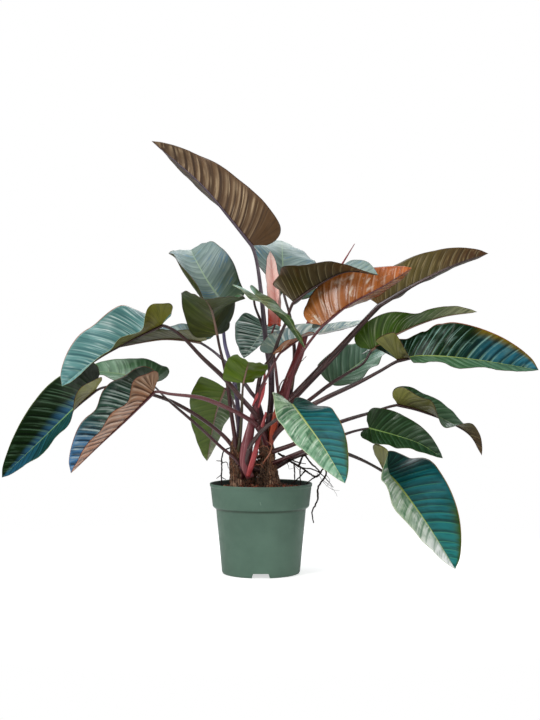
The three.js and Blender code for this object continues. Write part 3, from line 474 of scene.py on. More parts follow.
# Upper and lower faces and margins of the blades
TOPS = palette("top", {
    # The grey-green of pale and glaze, with their blue dashes, is mainly painted reflection of the sky over
    # green
    "pale": ((0x4A5E48, 0x627472, 0x70827A, 0x4E6048, 0x3E5248, 0x95A59C, 0x7C9076, 0x4C4A3A),
        dict(rough=0.45, coat=0.0, specular=0.22, bands=0.35, streaks=0.6, reflected_dashes=0x43667A)),
    "glaze": ((0x92A290, 0x98A69C, 0xB0BCB2, 0x728E7A, 0x4A7478, 0xE8ECE0, 0x9CAC80, 0x5C6450),
        dict(specular=0.25, bands=0.55, streaks=0.8, patches=0.5, reflected_dashes=0x3E6A80)),
    "deep": ((0x18300F, 0x1A3A14, 0x224028, 0x20401A, 0x0A1608, 0x4A6E50, 0x74924A, 0x3A3018),
        dict(specular=0.25, bands=0.35, wide=0.3, rib_width=0.06)),
    # Painted blue reflections: beside the midrib on shore, and towards the tip on inlet
    "shore": ((0x071405, 0x0A2006, 0x0E2608, 0x2E5E7E, 0x020602, 0x5E7E62, 0x78A06A, 0x4E5A28),
        dict(rough=0.36, coat=0.0, specular=0.08, near_show=0.95, bands=0.45, streaks=0.45, wide=0.32,
             rib_width=0.06, near_reach=0.4, bare=0.46)),
    "inlet": ((0x0E2C24, 0x0E3830, 0x1E5068, 0x123E3C, 0x082020, 0x2E6A78, 0x78A06A, 0x5E7A48),
        dict(coat=0.0, specular=0.1, bands=0.45, streaks=0.5, wide=0.3, bare=0.46)),
    # The blue towards the tip is painted reflection, and the gleam painted highlights
    "silk": ((0x3A463A, 0x36584A, 0x3E74A0, 0x2E3E2C, 0x050C0A, 0xC8D6D0, 0x84A06C, 0x7A4A30),
        dict(rough=0.3, coat=0.04, specular=0.25, near_show=0.3, bands=0.75, streaks=0.6, wide=0.4,
             gleam=0.4, bare=0.42)),
    "pleat": ((0x5E7C6C, 0x76948A, 0x728E82, 0x5A7C68, 0x1A3428, 0xECF2EC, 0x9CB090, 0x3A4A38),
        dict(near_show=0.2, bands=0.9, streaks=0.8, wide=0.35)),
    # The blue towards the tip and the pale streaks are painted reflections over dark green
    "gloss": ((0x04180A, 0x06260C, 0x2C7084, 0x10300E, 0x031006, 0x90B8AC, 0x86984A, 0x7A3A18),
        dict(rough=0.3, coat=0.0, specular=0.14, near_show=0.4, bands=0.6, streaks=0.3, wide=0.2,
             fringe=0x6E5C10, rib_width=0.05, gleam=0.25, bare=0.3)),
    # The blue-green of teal and frost is partly painted reflection of the sky over dark green
    "teal": ((0x0C3A34, 0x0E5A60, 0x186E6A, 0x184E42, 0x02201C, 0x287A80, 0x9CAE58, 0x7E6A3C),
        dict(coat=0.0, specular=0.1, bands=0.5, streaks=0.4, fringe=0x2E4A12, patches=0.3, rib_width=0.06,
             veins=0x3C8466)),
    "frost": ((0x305E5C, 0x507E7A, 0x639290, 0x2C5A5E, 0x1A444C, 0xC4D6D0, 0x9CAE7E, 0x8A5A40),
        dict(bands=0.35, streaks=0.85, wide=0.25)),
    "sage": ((0x4A694C, 0x567A60, 0x567A6E, 0x38583A, 0x284430, 0x9CB4A0, 0x9CAE7C, 0x4E4A2C),
        dict(bands=0.4)),
    "mid": ((0x2C4C26, 0x385E3A, 0x486A50, 0x2E5230, 0x203A22, 0x7C9A7C, 0x8FA070, 0x4E4A2C),
        dict(bands=0.4)),
    # The whitish tones of silver and chrome are partly painted reflection, a pale gloss over green
    "silver": ((0x9CBA90, 0x84AC8A, 0x84AE90, 0x5A8E62, 0x24583A, 0xF2F8E8, 0xC0C88C, 0xC0C8A0),
        dict(near_show=0.6, bands=0.25, streaks=0.6, patches=0.8, rib_width=0.07)),
    "chrome": ((0x4E8250, 0xB4C8AA, 0xFCFCFA, 0x5E9468, 0x3E724A, 0xFCFCF8, 0xB8C490, 0xC8D0B0),
        dict(near_show=0.5, bands=0.35, streaks=0.8, patches=0.75, rib_width=0.07)),
    "turning": ((0x8CB4A0, 0x2E4816, 0x3E5A26, 0x34501A, 0x223612, 0x86A06A, 0x7C7A50, 0x5C5430),
        dict(specular=0.2, bands=0.3, streaks=0.3, early=0.24)),
    "pink": ((0xE04A1C, 0xFFE2DA, 0xFFE4DC, 0xF4C4BC, 0xF0BEB6, 0xFFF2EE, 0xF0A898, 0xD08A80),
        dict(rough=0.4, near_show=0.5, bands=0.2)),
})
UNDERS = palette("under", {
    "bronze": ((0x50381F, 0x5E4630, 0x54402C, 0x46301E, 0x2A1C10, 0xB09878, 0x3C1A18, 0x3A241A),
        dict(bands=0.55, streaks=0.9, bare=0.42)),
    "umber": ((0x46381A, 0x483A16, 0x4E3A16, 0x2E240C, 0x1C1408, 0x7C6E4A, 0x3C1A18, 0x2E1E14),
        dict(bands=0.35, streaks=0.45, wide=0.2, veins=0x9C8E6A)),
    "russet": ((0x6A4A1E, 0x54481E, 0x4E3014, 0x443A16, 0x2C200C, 0x988458, 0x5A2A26, 0x3E2416),
        dict(bands=0.35, streaks=0.75, wide=0.25, veins=0x8A7E5E)),
    "moss": ((0x848444, 0x5E5E30, 0x4A3418, 0x3E3A14, 0x2A280C, 0x8A8458, 0x6A3A34, 0x3E2A18),
        dict(bands=0.35, streaks=0.6, wide=0.25)),
    "ochre": ((0x86862A, 0x6A6220, 0x5E4E20, 0x5A5A14, 0x40400C, 0xA4A052, 0x8A7A50, 0x6E3E20),
        dict(bands=0.2, streaks=0.4)),
    "olive": ((0x363C08, 0x404A0A, 0x464E16, 0x3A3E0C, 0x242A04, 0x74803C, 0x806054, 0x40301A),
        dict(bands=0.25, rib_width=0.06)),
    "green": ((0x3E5C0C, 0x4A6C1C, 0xA4A67C, 0x344C0C, 0x1E3004, 0xB0B894, 0x6E5046, 0x4A4024),
        dict(bands=0.35, streaks=0.8, wide=0.25)),
    "lime": ((0x526C0A, 0x546E08, 0x5C7212, 0x445C06, 0x344C04, 0x7C8C34, 0x7E6A3E, 0x566426),
        dict(bands=0.2, streaks=0.3)),
    "copper": ((0xC67C40, 0xB2662A, 0xC06830, 0xA45C1E, 0x6A3008, 0xFFF0DC, 0x5A1E1A, 0x5A2412),
        dict(rough=0.26, coat=0.3, specular=0.5, near_show=0.4, bands=0.3, streaks=0.1, wide=0.3,
             fringe=0xB05A28, gleam=0.8)),
    "rose": ((0xDA4A20, 0xFCD8D0, 0xFCDAD2, 0xF0B8B0, 0xECB0A8, 0xFFECE6, 0xF0A898, 0xC87E74),
        dict(rough=0.4, bands=0.2)),
    "tan": ((0x9A765A, 0xB07A56, 0xB67650, 0x926448, 0x3A2216, 0xD8BCA4, 0x5A2A28, 0x6A3A30),
        dict(bands=0.75, streaks=0.7, bare=0.2)),
}) | {"turning": TOPS["turning"]}
MARGINS = palette("margin", {
    "red": ((0x42201A, 0x4A2418, 0x4E2A1C, 0x42201A, 0x3A1C16, 0x6A4030, 0x42201A, 0x42201A),
        dict(rough=0.4)),
    "pale": ((0x7A8A58, 0x8A9A68, 0x8E9E74, 0x7A8A58, 0x6A7A4C, 0xA4B088, 0x7A8A58, 0x7A8A58),
        dict(rough=0.4)),
})
STALKS = {
    key: stalk_material(f"{kind}_{key}", *colours) for kind, key, *colours in (
        ("stalk", "maroon", 0x461C20, 0x301A1A, 0x8A6460), ("stalk", "red", 0x702830, 0x5A2228, 0x985A5C),
        ("stalk", "mauve", 0x43242A, 0x51434E, 0x8A7E8A), ("stalk", "lavender", 0x4A3040, 0x6A6288, 0xA29CBC),
        ("stalk", "pink", 0x60282E, 0x643438, 0x9A706E), ("stalk", "olive", 0x3A3A1C, 0x4A2420, 0x76684A),
        ("stalk", "grey", 0x43282A, 0x423430, 0x8A7E74), ("rib", "dun", 0x7E5A4E, 0x8A6A5A, 0xA88C78),
        ("rib", "leafy", 0x34541C, 0x2C4816, 0x567638), ("rib", "blush", 0xE09480, 0xF0B0A2, 0xF6CCC2))
}


# Leaves

class Leaf:
    """One leaf, in mm and degrees. sides: the turns of its halves about the midrib, along it. lobe: length of
    the lobes as a share of the midrib's. foot: where the stalk leaves the stem. look: upper faces of the two
    halves, lower faces, margin and stalk. curl bends the halves, point and full shape their outline, and wave
    and waves their edge."""

    def __init__(self, midrib, sides, stalk, width, lobe, foot, radius, veins, relief, look, curl=([0], [0]),
                 point=0, full=0, wave=3, waves=3, stem="right", rib=None):
        self.path, self.sides, self.curl, self.width, self.lobe = Path(midrib), sides, curl, width, lobe
        self.foot, self.radius, self.veins, self.relief, self.stem = foot, radius, veins, relief, stem
        self.point, self.full, self.wave, self.waves = point, full, wave, waves
        tops, unders, margin, self.colour = look.split()
        self.rib = rib or self.colour
        self.faces = [faces[key] for faces, keys in ((TOPS, tops), (UNDERS, unders))
                      for key in (keys.split("/") * 2)[:2]] + [MARGINS[margin]]
        chord = self.path.points[-1] - self.path.points[0]
        self.left = np.array([-chord[2], 0, chord[0]])
        self.stalk = Path(stalk + [self.rib_centre(0.0).tolist(), self.rib_centre(0.1).tolist()])
        self.end = self.stalk.knots[-2]

    def frame(self, along):
        """Points, directions and upward directions of the midrib, the direction at a turn about it, the turns
        of both halves, and the share of the way along."""
        share = along / self.path.length
        point, way = self.path.at(along)
        sideways = unit(self.left - way * (way @ self.left)[..., None])
        forward = np.cross(way, sideways)
        turns = [np.radians(between(values, share)) for values in self.sides]

        def towards(turn):
            return sideways * np.cos(turn)[..., None] + forward * np.sin(turn)[..., None]

        return point, way, towards((turns[0] + turns[1]) / 2), towards, turns, share

    def at(self, half, across, along):
        """The middle surface at places on the flat blade."""
        point, _, _, towards, turns, share = self.frame(along)
        way = 1 if half == 0 else -1
        curl = np.radians(np.maximum(between(self.curl[half], share), 0.01))
        bend = way * curl / (self.width / 2)
        turned = turns[half] + bend * across
        chord = 2 * np.sin(bend * across / 2) / bend
        wave = np.sin(TURN * (self.waves * share + 0.37 * half)) * self.wave
        rise = wave * (across / (self.width / 2)) ** 2
        outward = towards((turns[half] + turned) / 2) * chord[..., None]
        return point + outward + towards(turned + way * np.pi / 2) * rise[..., None]

    def outline(self):
        """Outline of one half of the flat blade, from the inner end of its lobe round to the tip."""
        lobe = (1 - self.point) * ROUND_LOBE + self.point * POINTED_LOBE
        x = (1 - self.full) * SLENDER_BLADE + self.full * FULL_BLADE
        shape = np.concatenate([lobe * (1, self.lobe), np.stack([x, OUTLINE_PLACES], 1)])
        return Path([(x * self.width / 2, y * self.path.length, 0) for x, y in shape])

    def rib_radius(self, share):
        return self.radius * RIB_SHARE * (1 - share) + RIB_TIP * share

    def rib_centre(self, share):
        point, _, up = self.frame(np.asarray(self.path.length * RIB_REACH * share))[:3]
        return point - up * np.asarray(RIB_SINK + self.rib_radius(share))[..., None]

    def stalk_radius(self, distance):
        share = distance / self.end
        swell = 0.35 * np.exp(-share * 7) + 0.1 * np.exp(-((1 - share) * 14) ** 2)
        return self.radius * (1 + swell) * (1 + (RIB_SHARE - 1) * smooth(0.5, 1, share))


# Each leaf: midrib, turns of its halves, stalk, width, lobe, foot, radius of the stalk, count and relief of
# the side veins, and look
LEAVES = {
    "crest": Leaf(
        [(-19, -10, 765), (-68, -12, 825), (-140, -16, 909), (-254, -20, 1008)],
        [[190, 200, 203, 190], [268, 270, 280, 270]],
        [(12, 5, 311), (23, 5, 402), (23, 3, 463), (12, 0, 538), (2, -4, 639), (-9, -8, 723)],
        180, 0.07, 64, 6, 19, 0.9, "pale bronze red mauve"),
    "arched": Leaf(
        [(-95, 34, 640), (-129, 52, 689), (-151, 85, 727), (-164, 130, 750), (-172, 190, 766),
         (-179, 270, 777)], [[-20, -15, 5, 28, 35, 35], [215, 185, 178, 175]],
        [(-54, 3, 278), (-52, 10, 362), (-62, 14, 442), (-74, 18, 496), (-85, 22, 536), (-90, 26, 588)],
        154, 0.05, 50, 5, 17, 0.5, "pale olive red lavender", curl=([150, 155, 100, 30, 0, 0], [0]),
         full=0.3, stem="left"),
    "wing": Leaf(
        [(-102, -30, 557), (-108, -44, 591), (-112, -80, 612), (-115, -150, 622), (-118, -270, 628)],
        [[245, 225, 190, 184, 184, 184, 184, 184], [322, 316]],
        [(-58, -5, 284), (-61, -12, 317), (-70, -16, 380), (-77, -20, 438), (-86, -24, 487),
         (-97, -28, 533)],
        166, 0.05, 40, 4.6, 13, 0.5, "mid olive red maroon", point=0.5, stem="left", rib="dun"),
    "bright": Leaf(
        [(-41, -75, 446), (-34, -86, 471), (-29, -120, 486), (-26, -205, 494)],
        [[240, 210, 198, 198, 198, 198, 198], [365, 350, 340, 335]],
        [(-54, -6, 279), (-49, -22, 313), (-45, -37, 364), (-43, -56, 411)],
        100, 0.04, 44, 3.6, 11, 0.4, "mid lime pale olive", point=0.7, stem="left", rib="dun"),
    "pleated": Leaf(
        [(11, 140, 582), (-13, 95, 544), (-41, 45, 503)], [[65], [190]],
        [(16, 6, 311), (26, 44, 404), (26, 90, 487), (19, 124, 547)],
        136, 0.08, 64, 4.6, 15, 1.3, "pleat olive red maroon", wave=8, waves=2),
    "rear": Leaf(
        [(55, 100, 663), (52, 118, 722), (51, 150, 758), (51, 210, 782), (52, 330, 805)],
        [[65, 35, 15, 15, 15], [175, 198, 200]],
        [(16, 4, 311), (49, 14, 358), (66, 24, 404), (76, 44, 463), (79, 64, 522), (71, 84, 595)],
        168, 0.08, 80, 4.6, 17, 0.5, "pale olive red maroon"),
    "canopy": Leaf(
        [(74, -56, 632), (126, -82, 669), (192, -124, 698), (261, -175, 687)],
        [[-85, -80, -64, -35], [-14, 50, 60, 66]],
        [(12, -8, 312), (-16, -6, 358), (-9, -12, 417), (2, -34, 471), (27, -53, 508), (42, -58, 549),
         (58, -52, 586)], 158, 0.1, 75, 5, 17, 0.5, "pale umber red maroon", point=1),
    "copper": Leaf(
        [(140, -66, 577), (202, -68, 626), (282, -74, 669), (345, -80, 709)],
        [[285, 258, 248], [325, 350, 350, 350]],
        [(16, -6, 307), (51, -30, 383), (69, -48, 452), (85, -58, 499), (99, -63, 522), (117, -66, 547)],
        160, 0.08, 84, 4.6, 16, 1.2, "mid copper red red", full=0.2),
    "slim": Leaf(
        [(44, -44, 517), (103, -4, 555), (162, 14, 567), (246, 38, 593)], [[-35, -55, -60], [70, 98, 110]],
        [(12, -8, 307), (-7, -22, 371), (-3, -36, 424), (5, -41, 443), (16, -43, 464), (33, -44, 496)],
        108, 0.14, 64, 4, 14, 0.5, "glaze copper red pink"),
    "spread": Leaf(
        [(275, 10, 628), (359, 30, 677), (463, 70, 727), (550, 120, 757)], [[262], [342, 350, 355]],
        [(12, 6, 306), (44, 0, 375), (75, -2, 410), (173, 0, 513)],
        128, 0.06, 92, 9, 18, 0.5, "mid umber/russet red maroon", point=1, full=0.5),
    "keel": Leaf(
        [(259, 22, 522), (328, 24, 565), (423, 32, 600), (513, 52, 613)], [[-85, -80, -80], [-10, 60, 40]],
        [(16, -4, 307), (68, -16, 375), (114, -8, 406), (162, 2, 442), (204, 12, 468), (242, 19, 492)],
        122, 0.08, 66, 4.4, 16, 0.7, "mid green red maroon", rib="dun"),
    "glossy": Leaf(
        [(313, -60, 499), (366, -62, 508), (479, -70, 501), (633, -90, 476)],
        [[-55, -62, -45, -22, -10, -5, -5, -5, -5, -5, -5],
         [42, 96, 100, 103, 105, 105, 105, 105, 105, 105, 105]],
        [(16, -8, 298), (35, -24, 327), (56, -34, 348), (90, -40, 378), (150, -46, 411), (224, -51, 446),
         (274, -56, 473)],
        168, 0.13, 66, 5.6, 20, 1.3, "gloss/mid olive/moss red maroon", point=1, full=0.9, wave=5),
    "shade": Leaf(
        [(166, 60, 441), (214, 110, 474), (265, 180, 508), (314, 260, 531)], [[0], [115]],
        [(16, 6, 302), (59, 38, 361), (97, 46, 389), (135, 54, 420)],
        122, 0.03, 72, 4.4, 13, 0.6, "sage green red maroon", wave=6),
    "twisted": Leaf(
        [(315, -38, 397), (368, -42, 383), (437, -42, 355), (484, -38, 325), (512, -34, 278)],
        [[-30, -40, -50, -70, -90], [40, 60, 110, 40, 20]],
        [(26, -8, 284), (82, -16, 305), (137, -22, 336), (191, -26, 357), (253, -32, 376)],
        108, 0.07, 60, 4.8, 16, 0.7, "mid moss red maroon"),
    "oval": Leaf(
        [(248, -60, 342), (312, -75, 325), (362, -95, 308), (411, -120, 277)], [[5], [123]],
        [(16, -4, 253), (81, -34, 281), (148, -48, 309), (209, -57, 333)],
        106, 0.06, 62, 4.4, 15, 0.5, "deep olive pale maroon"),
    "broad": Leaf(
        [(282, -50, 245), (316, -75, 210), (374, -130, 130), (430, -190, 37)],
        [[-40, 0, 0, 0, 0], [70, 105, 115, 118, 118, 118]],
        [(30, 5, 245), (91, -8, 277), (161, -22, 289), (216, -36, 275)],
        192, 0.14, 55, 5, 20, 0.6, "teal/chrome olive/moss pale grey", full=0.6),
    "front": Leaf(
        [(71, -110, 399), (99, -150, 362), (137, -210, 310), (181, -300, 236)],
        [[-50, -15, -10, -10, -10], [115, 135, 140, 140, 140]],
        [(12, -10, 237), (-30, -40, 258), (-26, -52, 296), (-10, -58, 321), (10, -66, 343), (37, -78, 364),
         (57, -95, 385)], 140, 0.1, 94, 5, 18, 0.6, "teal/silver olive/green pale grey", full=0.2),
    "teal": Leaf(
        [(-228, -46, 581), (-292, -58, 549), (-367, -85, 505), (-446, -140, 440)],
        [[125, 95, 92, 90, 85, 75], [245, 190, 198, 188, 185]],
        [(12, -14, 312), (2, -28, 343), (-16, -35, 376), (-46, -41, 411), (-83, -45, 455), (-134, -47, 503),
         (-187, -46, 557)], 168, 0.13, 56, 5.4, 19, 0.5, "frost ochre pale maroon", full=0.9, wave=6),
    "low": Leaf(
        [(-389, 20, 429), (-435, 25, 390), (-528, 35, 302), (-615, 45, 220)],
        [[105, 72, 63, 63], [200, 182, 180]],
        [(-49, 2, 264), (-73, 6, 304), (-106, 12, 336), (-168, 22, 378), (-226, 22, 407), (-320, 18, 433),
         (-365, 19, 435)],
        170, 0.12, 50, 4.4, 20, 0.8, "inlet/shore ochre red maroon", full=0.3, stem="left"),
    "folded": Leaf(
        [(-243, -90, 428), (-303, -100, 367), (-359, -110, 313), (-427, -130, 244)],
        [[122, 108, 107, 107, 105], [210, 188, 210, 190, 190]],
        [(12, -20, 303), (2, -40, 332), (-11, -47, 349), (-46, -56, 373), (-92, -63, 395), (-138, -72, 412),
         (-207, -84, 421)], 172, 0.13, 54, 5, 20, 1.2, "silk tan red pink", full=0.8, wave=6),
    "back_left": Leaf(
        [(-259, 50, 442), (-341, 105, 465), (-467, 180, 474)], [[80], [225]],
        [(-49, -6, 214), (-42, -22, 233), (-58, -26, 266), (-93, -22, 296), (-141, -14, 340),
         (-218, 2, 405)], 132, 0.08, 46, 3.6, 15, 0.4, "mid bronze red maroon", stem="left"),
    "edge_on": Leaf(
        [(-144, 72, 542), (-185, 84, 548), (-245, 104, 549), (-357, 140, 528)], [[115], [230]],
        [(12, 8, 320), (-7, 12, 400), (-24, 18, 423), (-38, 26, 442), (-98, 58, 506)],
        110, 0.1, 62, 4.6, 15, 0.5, "glaze/pale moss red mauve", rib="dun"),
    "hanging": Leaf(
        [(-87, 100, 431), (-110, 130, 372), (-133, 200, 263), (-136, 215, 247)], [[190], [300]],
        [(-54, 4, 278), (-55, 35, 345), (-67, 70, 396)],
        144, 0.02, 40, 4, 15, 0.5, "mid lime/green red maroon", wave=5, stem="left", rib="dun"),
    "ribbon": Leaf(
        [(-13, -60, 648), (19, -86, 622), (55, -128, 584), (98, -190, 525)],
        [[-62, -64, -68, -65], [116, 104, 70, 60]],
        [(12, 10, 311), (23, 22, 402), (26, 28, 463), (16, 28, 539), (2, 16, 583), (-14, -24, 624)],
        86, 0.24, 64, 4, 15, 0.4, "turning turning pale maroon", point=0.6, rib="leafy"),
    "new": Leaf(
        [(33, 28, 584), (33, 29, 640), (21, 30, 756)], [[35], [145]],
        [(12, -2, 302), (40, -10, 394), (37, -8, 452), (30, 8, 510), (23, 20, 550)],
        96, 0.04, 84, 3.6, 14, 0.2, "pink rose red pink", curl=([70], [90]), wave=0, rib="blush"),
}


def blade(name, leaf):
    """Both halves of a blade and their margins."""
    length, outline = leaf.path.length, leaf.outline()
    shape = Shape()
    phase = random.uniform(0, TURN, 3)
    turn = np.linspace(0, 1, ROWS + 1)[:, None]
    s = np.linspace(0, 1, COLUMNS + 1)[None, :]
    end = outline.at(turn[:, 0] * outline.length)[0]
    root = length * np.maximum((turn - FAN_SHARE) / (1 - FAN_SHARE), 0) ** VEIN_LEAN
    along = root + (end[:, 1:2] - root) * ((1 - VEIN_BOW) * s + VEIN_BOW * s * s)
    across = end[:, 0:1] * s
    up = leaf.frame(root[:, 0])[2]
    ease, tip = smooth(0, 0.06, s)[..., None], smooth(1, 0.9, turn)
    for half in (0, 1):
        middle = leaf.at(half, across, along)
        normal = unit(np.cross(np.gradient(middle, axis=0), np.gradient(middle, axis=1)))
        normal[-1] = normal[-2]
        if np.mean(np.sum(normal[20:-20, 2] * up[20:-20], axis=-1)) < 0:
            normal = -normal
        normal = unit(up[:, None] * (1 - ease) + normal * ease)
        # The veins lie in furrows of the upper face, and the blade is pillowed between them
        count = turn * leaf.veins + VEIN_SHIFT * np.sin(turn * SHIFT_WAVES + phase[half])
        furrow = (0.5 + 0.5 * np.cos(TURN * count)) ** 2.5
        grown = 0.3 + 0.7 * smooth(0.15, 0.42, turn)
        fade = smooth(0, 0.16, s) * (1 - 0.55 * smooth(0.8, 1, s)) * tip * grown
        uneven = 0.7 + 0.3 * np.sin(turn * RELIEF_WAVES + phase[half] + 4 * s)
        height = -leaf.relief * furrow * fade * uneven
        frill = np.sin(turn * FRILL_WAVES[0] + phase[2] + half)
        frill = frill + 0.5 * np.sin(turn * FRILL_WAVES[1] + phase[half])
        height = height + FRILL * frill * s**3 * tip * smooth(0, 0.15, turn)
        groove = -GROOVE_DEPTH * np.exp(-((across / GROOVE_WIDTH) ** 2)) * tip
        thick = THICKNESS * (1 - EDGE_THINNER * s**4)
        upper = middle + normal * (height + groove + thick / 2)[..., None]
        lower = middle + normal * (height - thick / 2)[..., None]
        u, v, share = count + 0 * s, s + 0 * turn, turn + 0 * s
        flip = half == 1
        shape.grid(upper, u, v, half, flip=flip, share=share)
        shape.grid(lower, u, v, 2 + half, flip=not flip, share=share)
        # Margins: the outline, and the inner end of the lobe
        rim, inner = (np.stack(edges, 1) for edges in ((upper[:, -1], lower[:, -1]), (upper[0], lower[0])))
        shape.grid(rim, u[:, :2], v[:, -2:], 4, flip=flip, share=share[:, :2])
        shape.grid(inner, np.stack([u[0]] * 2, 1), np.stack([v[0]] * 2, 1), 4, flip=not flip)
    shape.build(f"blade_{name}", leaf.faces, replaces=f"leaf_{name}")


def stalk(name, leaf):
    """A stalk and the midrib that it goes on in, under the blade."""
    distance = np.linspace(leaf.foot, leaf.end, STALK_STEPS)
    centre, direction = leaf.stalk.at(distance)
    _, way, up = leaf.frame(np.zeros(1))[:3]
    x = carried(direction[::-1], np.cross(up[0], way[0]))[::-1]
    share = np.linspace(0, 1, RIB_STEPS + 1)[1:]
    along = leaf.path.length * RIB_REACH * share
    _, way, up = leaf.frame(along)[:3]
    side = unit(np.cross(up, way))
    parts = ((centre, x, np.cross(direction, x), leaf.stalk_radius(distance), distance),
             (leaf.rib_centre(share), side, np.cross(way, side), leaf.rib_radius(share), leaf.end + along))
    centre, x, y, r, distance = (np.concatenate(values) for values in zip(*parts))
    r = r[:, None] * (1 + STALK_RIDGES * np.cos(5 * np.linspace(0, TURN, STALK_SIDES + 1)))[None, :]
    shape = Shape()
    shape.skin(centre, x, y, r, distance, [(0, 0), (STALK_STEPS - 1, 1)])
    colours = [STALKS[leaf.colour], STALKS[leaf.rib]]
    shape.build(f"petiole_{name}", colours, replaces=f"stalk_{name}")


# Pot

def rounded(profile, radius):
    """Profile with a small arc at each of its corners."""
    points = [profile[0]]
    for a, b, c in zip(profile, profile[1:], profile[2:]):
        a, b, c = (np.array(p, float) for p in (a, b, c))
        before, after = a - b, c - b
        reach = min(radius, 0.45 * np.linalg.norm(before), 0.45 * np.linalg.norm(after))
        p, q = b + unit(before) * reach, b + unit(after) * reach
        points += [tuple((1 - t) ** 2 * p + 2 * t * (1 - t) * b + t * t * q) for t in (0, 0.25, 0.5, 0.75, 1)]
    return points + [profile[-1]]


def turned(profile, segments):
    """Rows of points of a solid of revolution about the pot's axis."""
    turn = turns_of(segments)
    r, z = np.array(profile).T
    return np.stack([r[:, None] * np.cos(turn), r[:, None] * np.sin(turn), z[:, None] + 0 * turn], -1)


def cutter(ends, turn):
    """Prism to cut with, between two rings of points, turned about the pot's axis."""
    work = bmesh.new()
    a, b = ([work.verts.new(point) for point in ring] for ring in ends)
    work.faces.new(a[::-1])
    work.faces.new(b)
    for k in range(len(a)):
        n = (k + 1) % len(a)
        work.faces.new((a[k], a[n], b[n], b[k]))
    bmesh.ops.rotate(work, verts=work.verts, cent=(0, 0, 0), matrix=Matrix.Rotation(turn, 3, "Z"))
    bmesh.ops.scale(work, verts=work.verts, vec=(MM, MM, MM))
    bmesh.ops.recalc_face_normals(work, faces=work.faces)
    mesh = bpy.data.meshes.new("cutter")
    work.to_mesh(mesh)
    work.free()
    return linked("cutter", mesh)


def pot():
    inside = POT_FLOOR + WALL
    profile = [
        # Underside
        (AXIS, 0), (PAD, 0), (PAD, POT_FLOOR), (FOOT_RADIUS - 2 * WALL, POT_FLOOR),
        (FOOT_RADIUS - BEVEL - WALL, 0),
        # Outside
        (FOOT_RADIUS - BEVEL, 0), (FOOT_RADIUS - 1.8, 1.6), (FOOT_RADIUS, BEVEL), (BODY_RADIUS, LIP - 5),
        (RIM_FOOT - 1.5, LIP), (RIM_FOOT, LIP + 3), (RIM_RADIUS - 1.9, POT_HEIGHT - 8),
        (RIM_RADIUS - 0.6, POT_HEIGHT - 6.5), (RIM_RADIUS, POT_HEIGHT - 1.2), (RIM_RADIUS - 0.8, POT_HEIGHT),
        # Inside
        (RIM_RADIUS - WALL, POT_HEIGHT), (RIM_FOOT - WALL - 0.4, LIP + 4),
        (BODY_RADIUS - WALL - 0.6, LIP - 4), (FOOT_RADIUS - WALL + 0.5, inside), (AXIS, inside),
    ]
    rows = turned(rounded(profile, CORNER), POT_SIDES)
    shape = Shape()
    u = np.linspace(0, 1, POT_SIDES + 1) + np.zeros((len(rows), 1))
    v = np.linspace(0, 1, len(rows))[:, None] + 0 * u
    shape.grid(rows, u, v, closed=True)
    piece = shape.build("nursery_pot", [pot_plastic()], replaces="pot")
    half, top, high = NOTCH["width"] / 2, NOTCH["top_width"] / 2, NOTCH["height"]
    notch = [(-half, -1), (half, -1), (top + 0.6, high - 1.2), (top - 1.2, high), (-top + 1.2, high),
             (-top - 0.6, high - 1.2)]
    reach = [-0.5 * FOOT_RADIUS, -1.5 * FOOT_RADIUS]
    tools = [cutter([[(x, y, z) for x, z in notch] for y in reach], TURN * k / NOTCH["count"])
             for k in range(NOTCH["count"])]
    size, out = DRAIN["radius"], DRAIN["ring"]
    hole = [(out + size * math.cos(t), size * math.sin(t)) for t in turns_of(HOLE_SIDES)]
    tools += [cutter([[(x, y, z) for x, y in hole] for z in (POT_FLOOR - 6, POT_FLOOR + 8)],
                     TURN * (k + 0.5) / DRAIN["count"]) for k in range(DRAIN["count"])]
    for tool in tools:
        cut = piece.modifiers.new("cut", "BOOLEAN")
        cut.operation, cut.object, cut.solver = "DIFFERENCE", tool, "EXACT"
    mesh = bpy.data.meshes.new_from_object(piece.evaluated_get(bpy.context.evaluated_depsgraph_get()))
    piece.modifiers.clear()
    piece.data = mesh
    for tool in tools:
        bpy.data.objects.remove(tool)
    mesh.set_sharp_from_angle(angle=math.radians(SHARP_ANGLE))


# Soil

def soil_top(x, y):
    """Height of the soil at a place: a mound with wide lumps and fine grain, plain at its edge."""
    r = np.hypot(x, y)
    base = SOIL_TOP + MOUND * np.sin(np.clip(1 - r / SOIL_EDGE, 0, 1) * np.pi / 2)
    lumps = 1.6 * (np.sin(x / 9 + 1) * np.cos(y / 11) + 0.6 * np.sin((x + y) / 6))
    fine = 0.9 * np.sin(x / 2.7 + 2 * np.sin(y / 7)) * np.sin(y / 3.1 + np.sin(x / 5))
    fine = fine + 0.5 * np.sin(x * 1.3) * np.sin(y * 1.1)
    return base + (lumps + fine) * np.clip((SOIL_EDGE - r) / 6, 0, 1)


def soil_place(most):
    """A random place within a share of the soil's area, and its distance from the axis."""
    r, turn = SOIL_EDGE * math.sqrt(random.uniform(0, most)), random.uniform(0, TURN)
    return r * math.cos(turn), r * math.sin(turn), r


def crumb(shape, at, size, slot):
    """One lump of bark or peat: a dented ball."""
    turn, tilt = np.linspace(0, TURN, 7), np.linspace(0.15, np.pi - 0.15, 5)[:, None]
    ball = np.stack([np.sin(tilt) * np.cos(turn), np.sin(tilt) * np.sin(turn), np.cos(tilt) + 0 * turn], -1)
    dents = 1 + random.uniform(-0.25, 0.25, ball.shape[:2])
    dents[:, -1] = dents[:, 0]
    axes = np.linalg.qr(random.normal(size=(3, 3)))[0]
    points = (at + (ball * dents[..., None] * size) @ axes)[:, :-1]
    u = turn + 0 * tilt
    shape.grid(points, u, u, slot, closed=True)
    shape.cap(points[0], slot)
    shape.cap(points[-1], slot, flip=True)


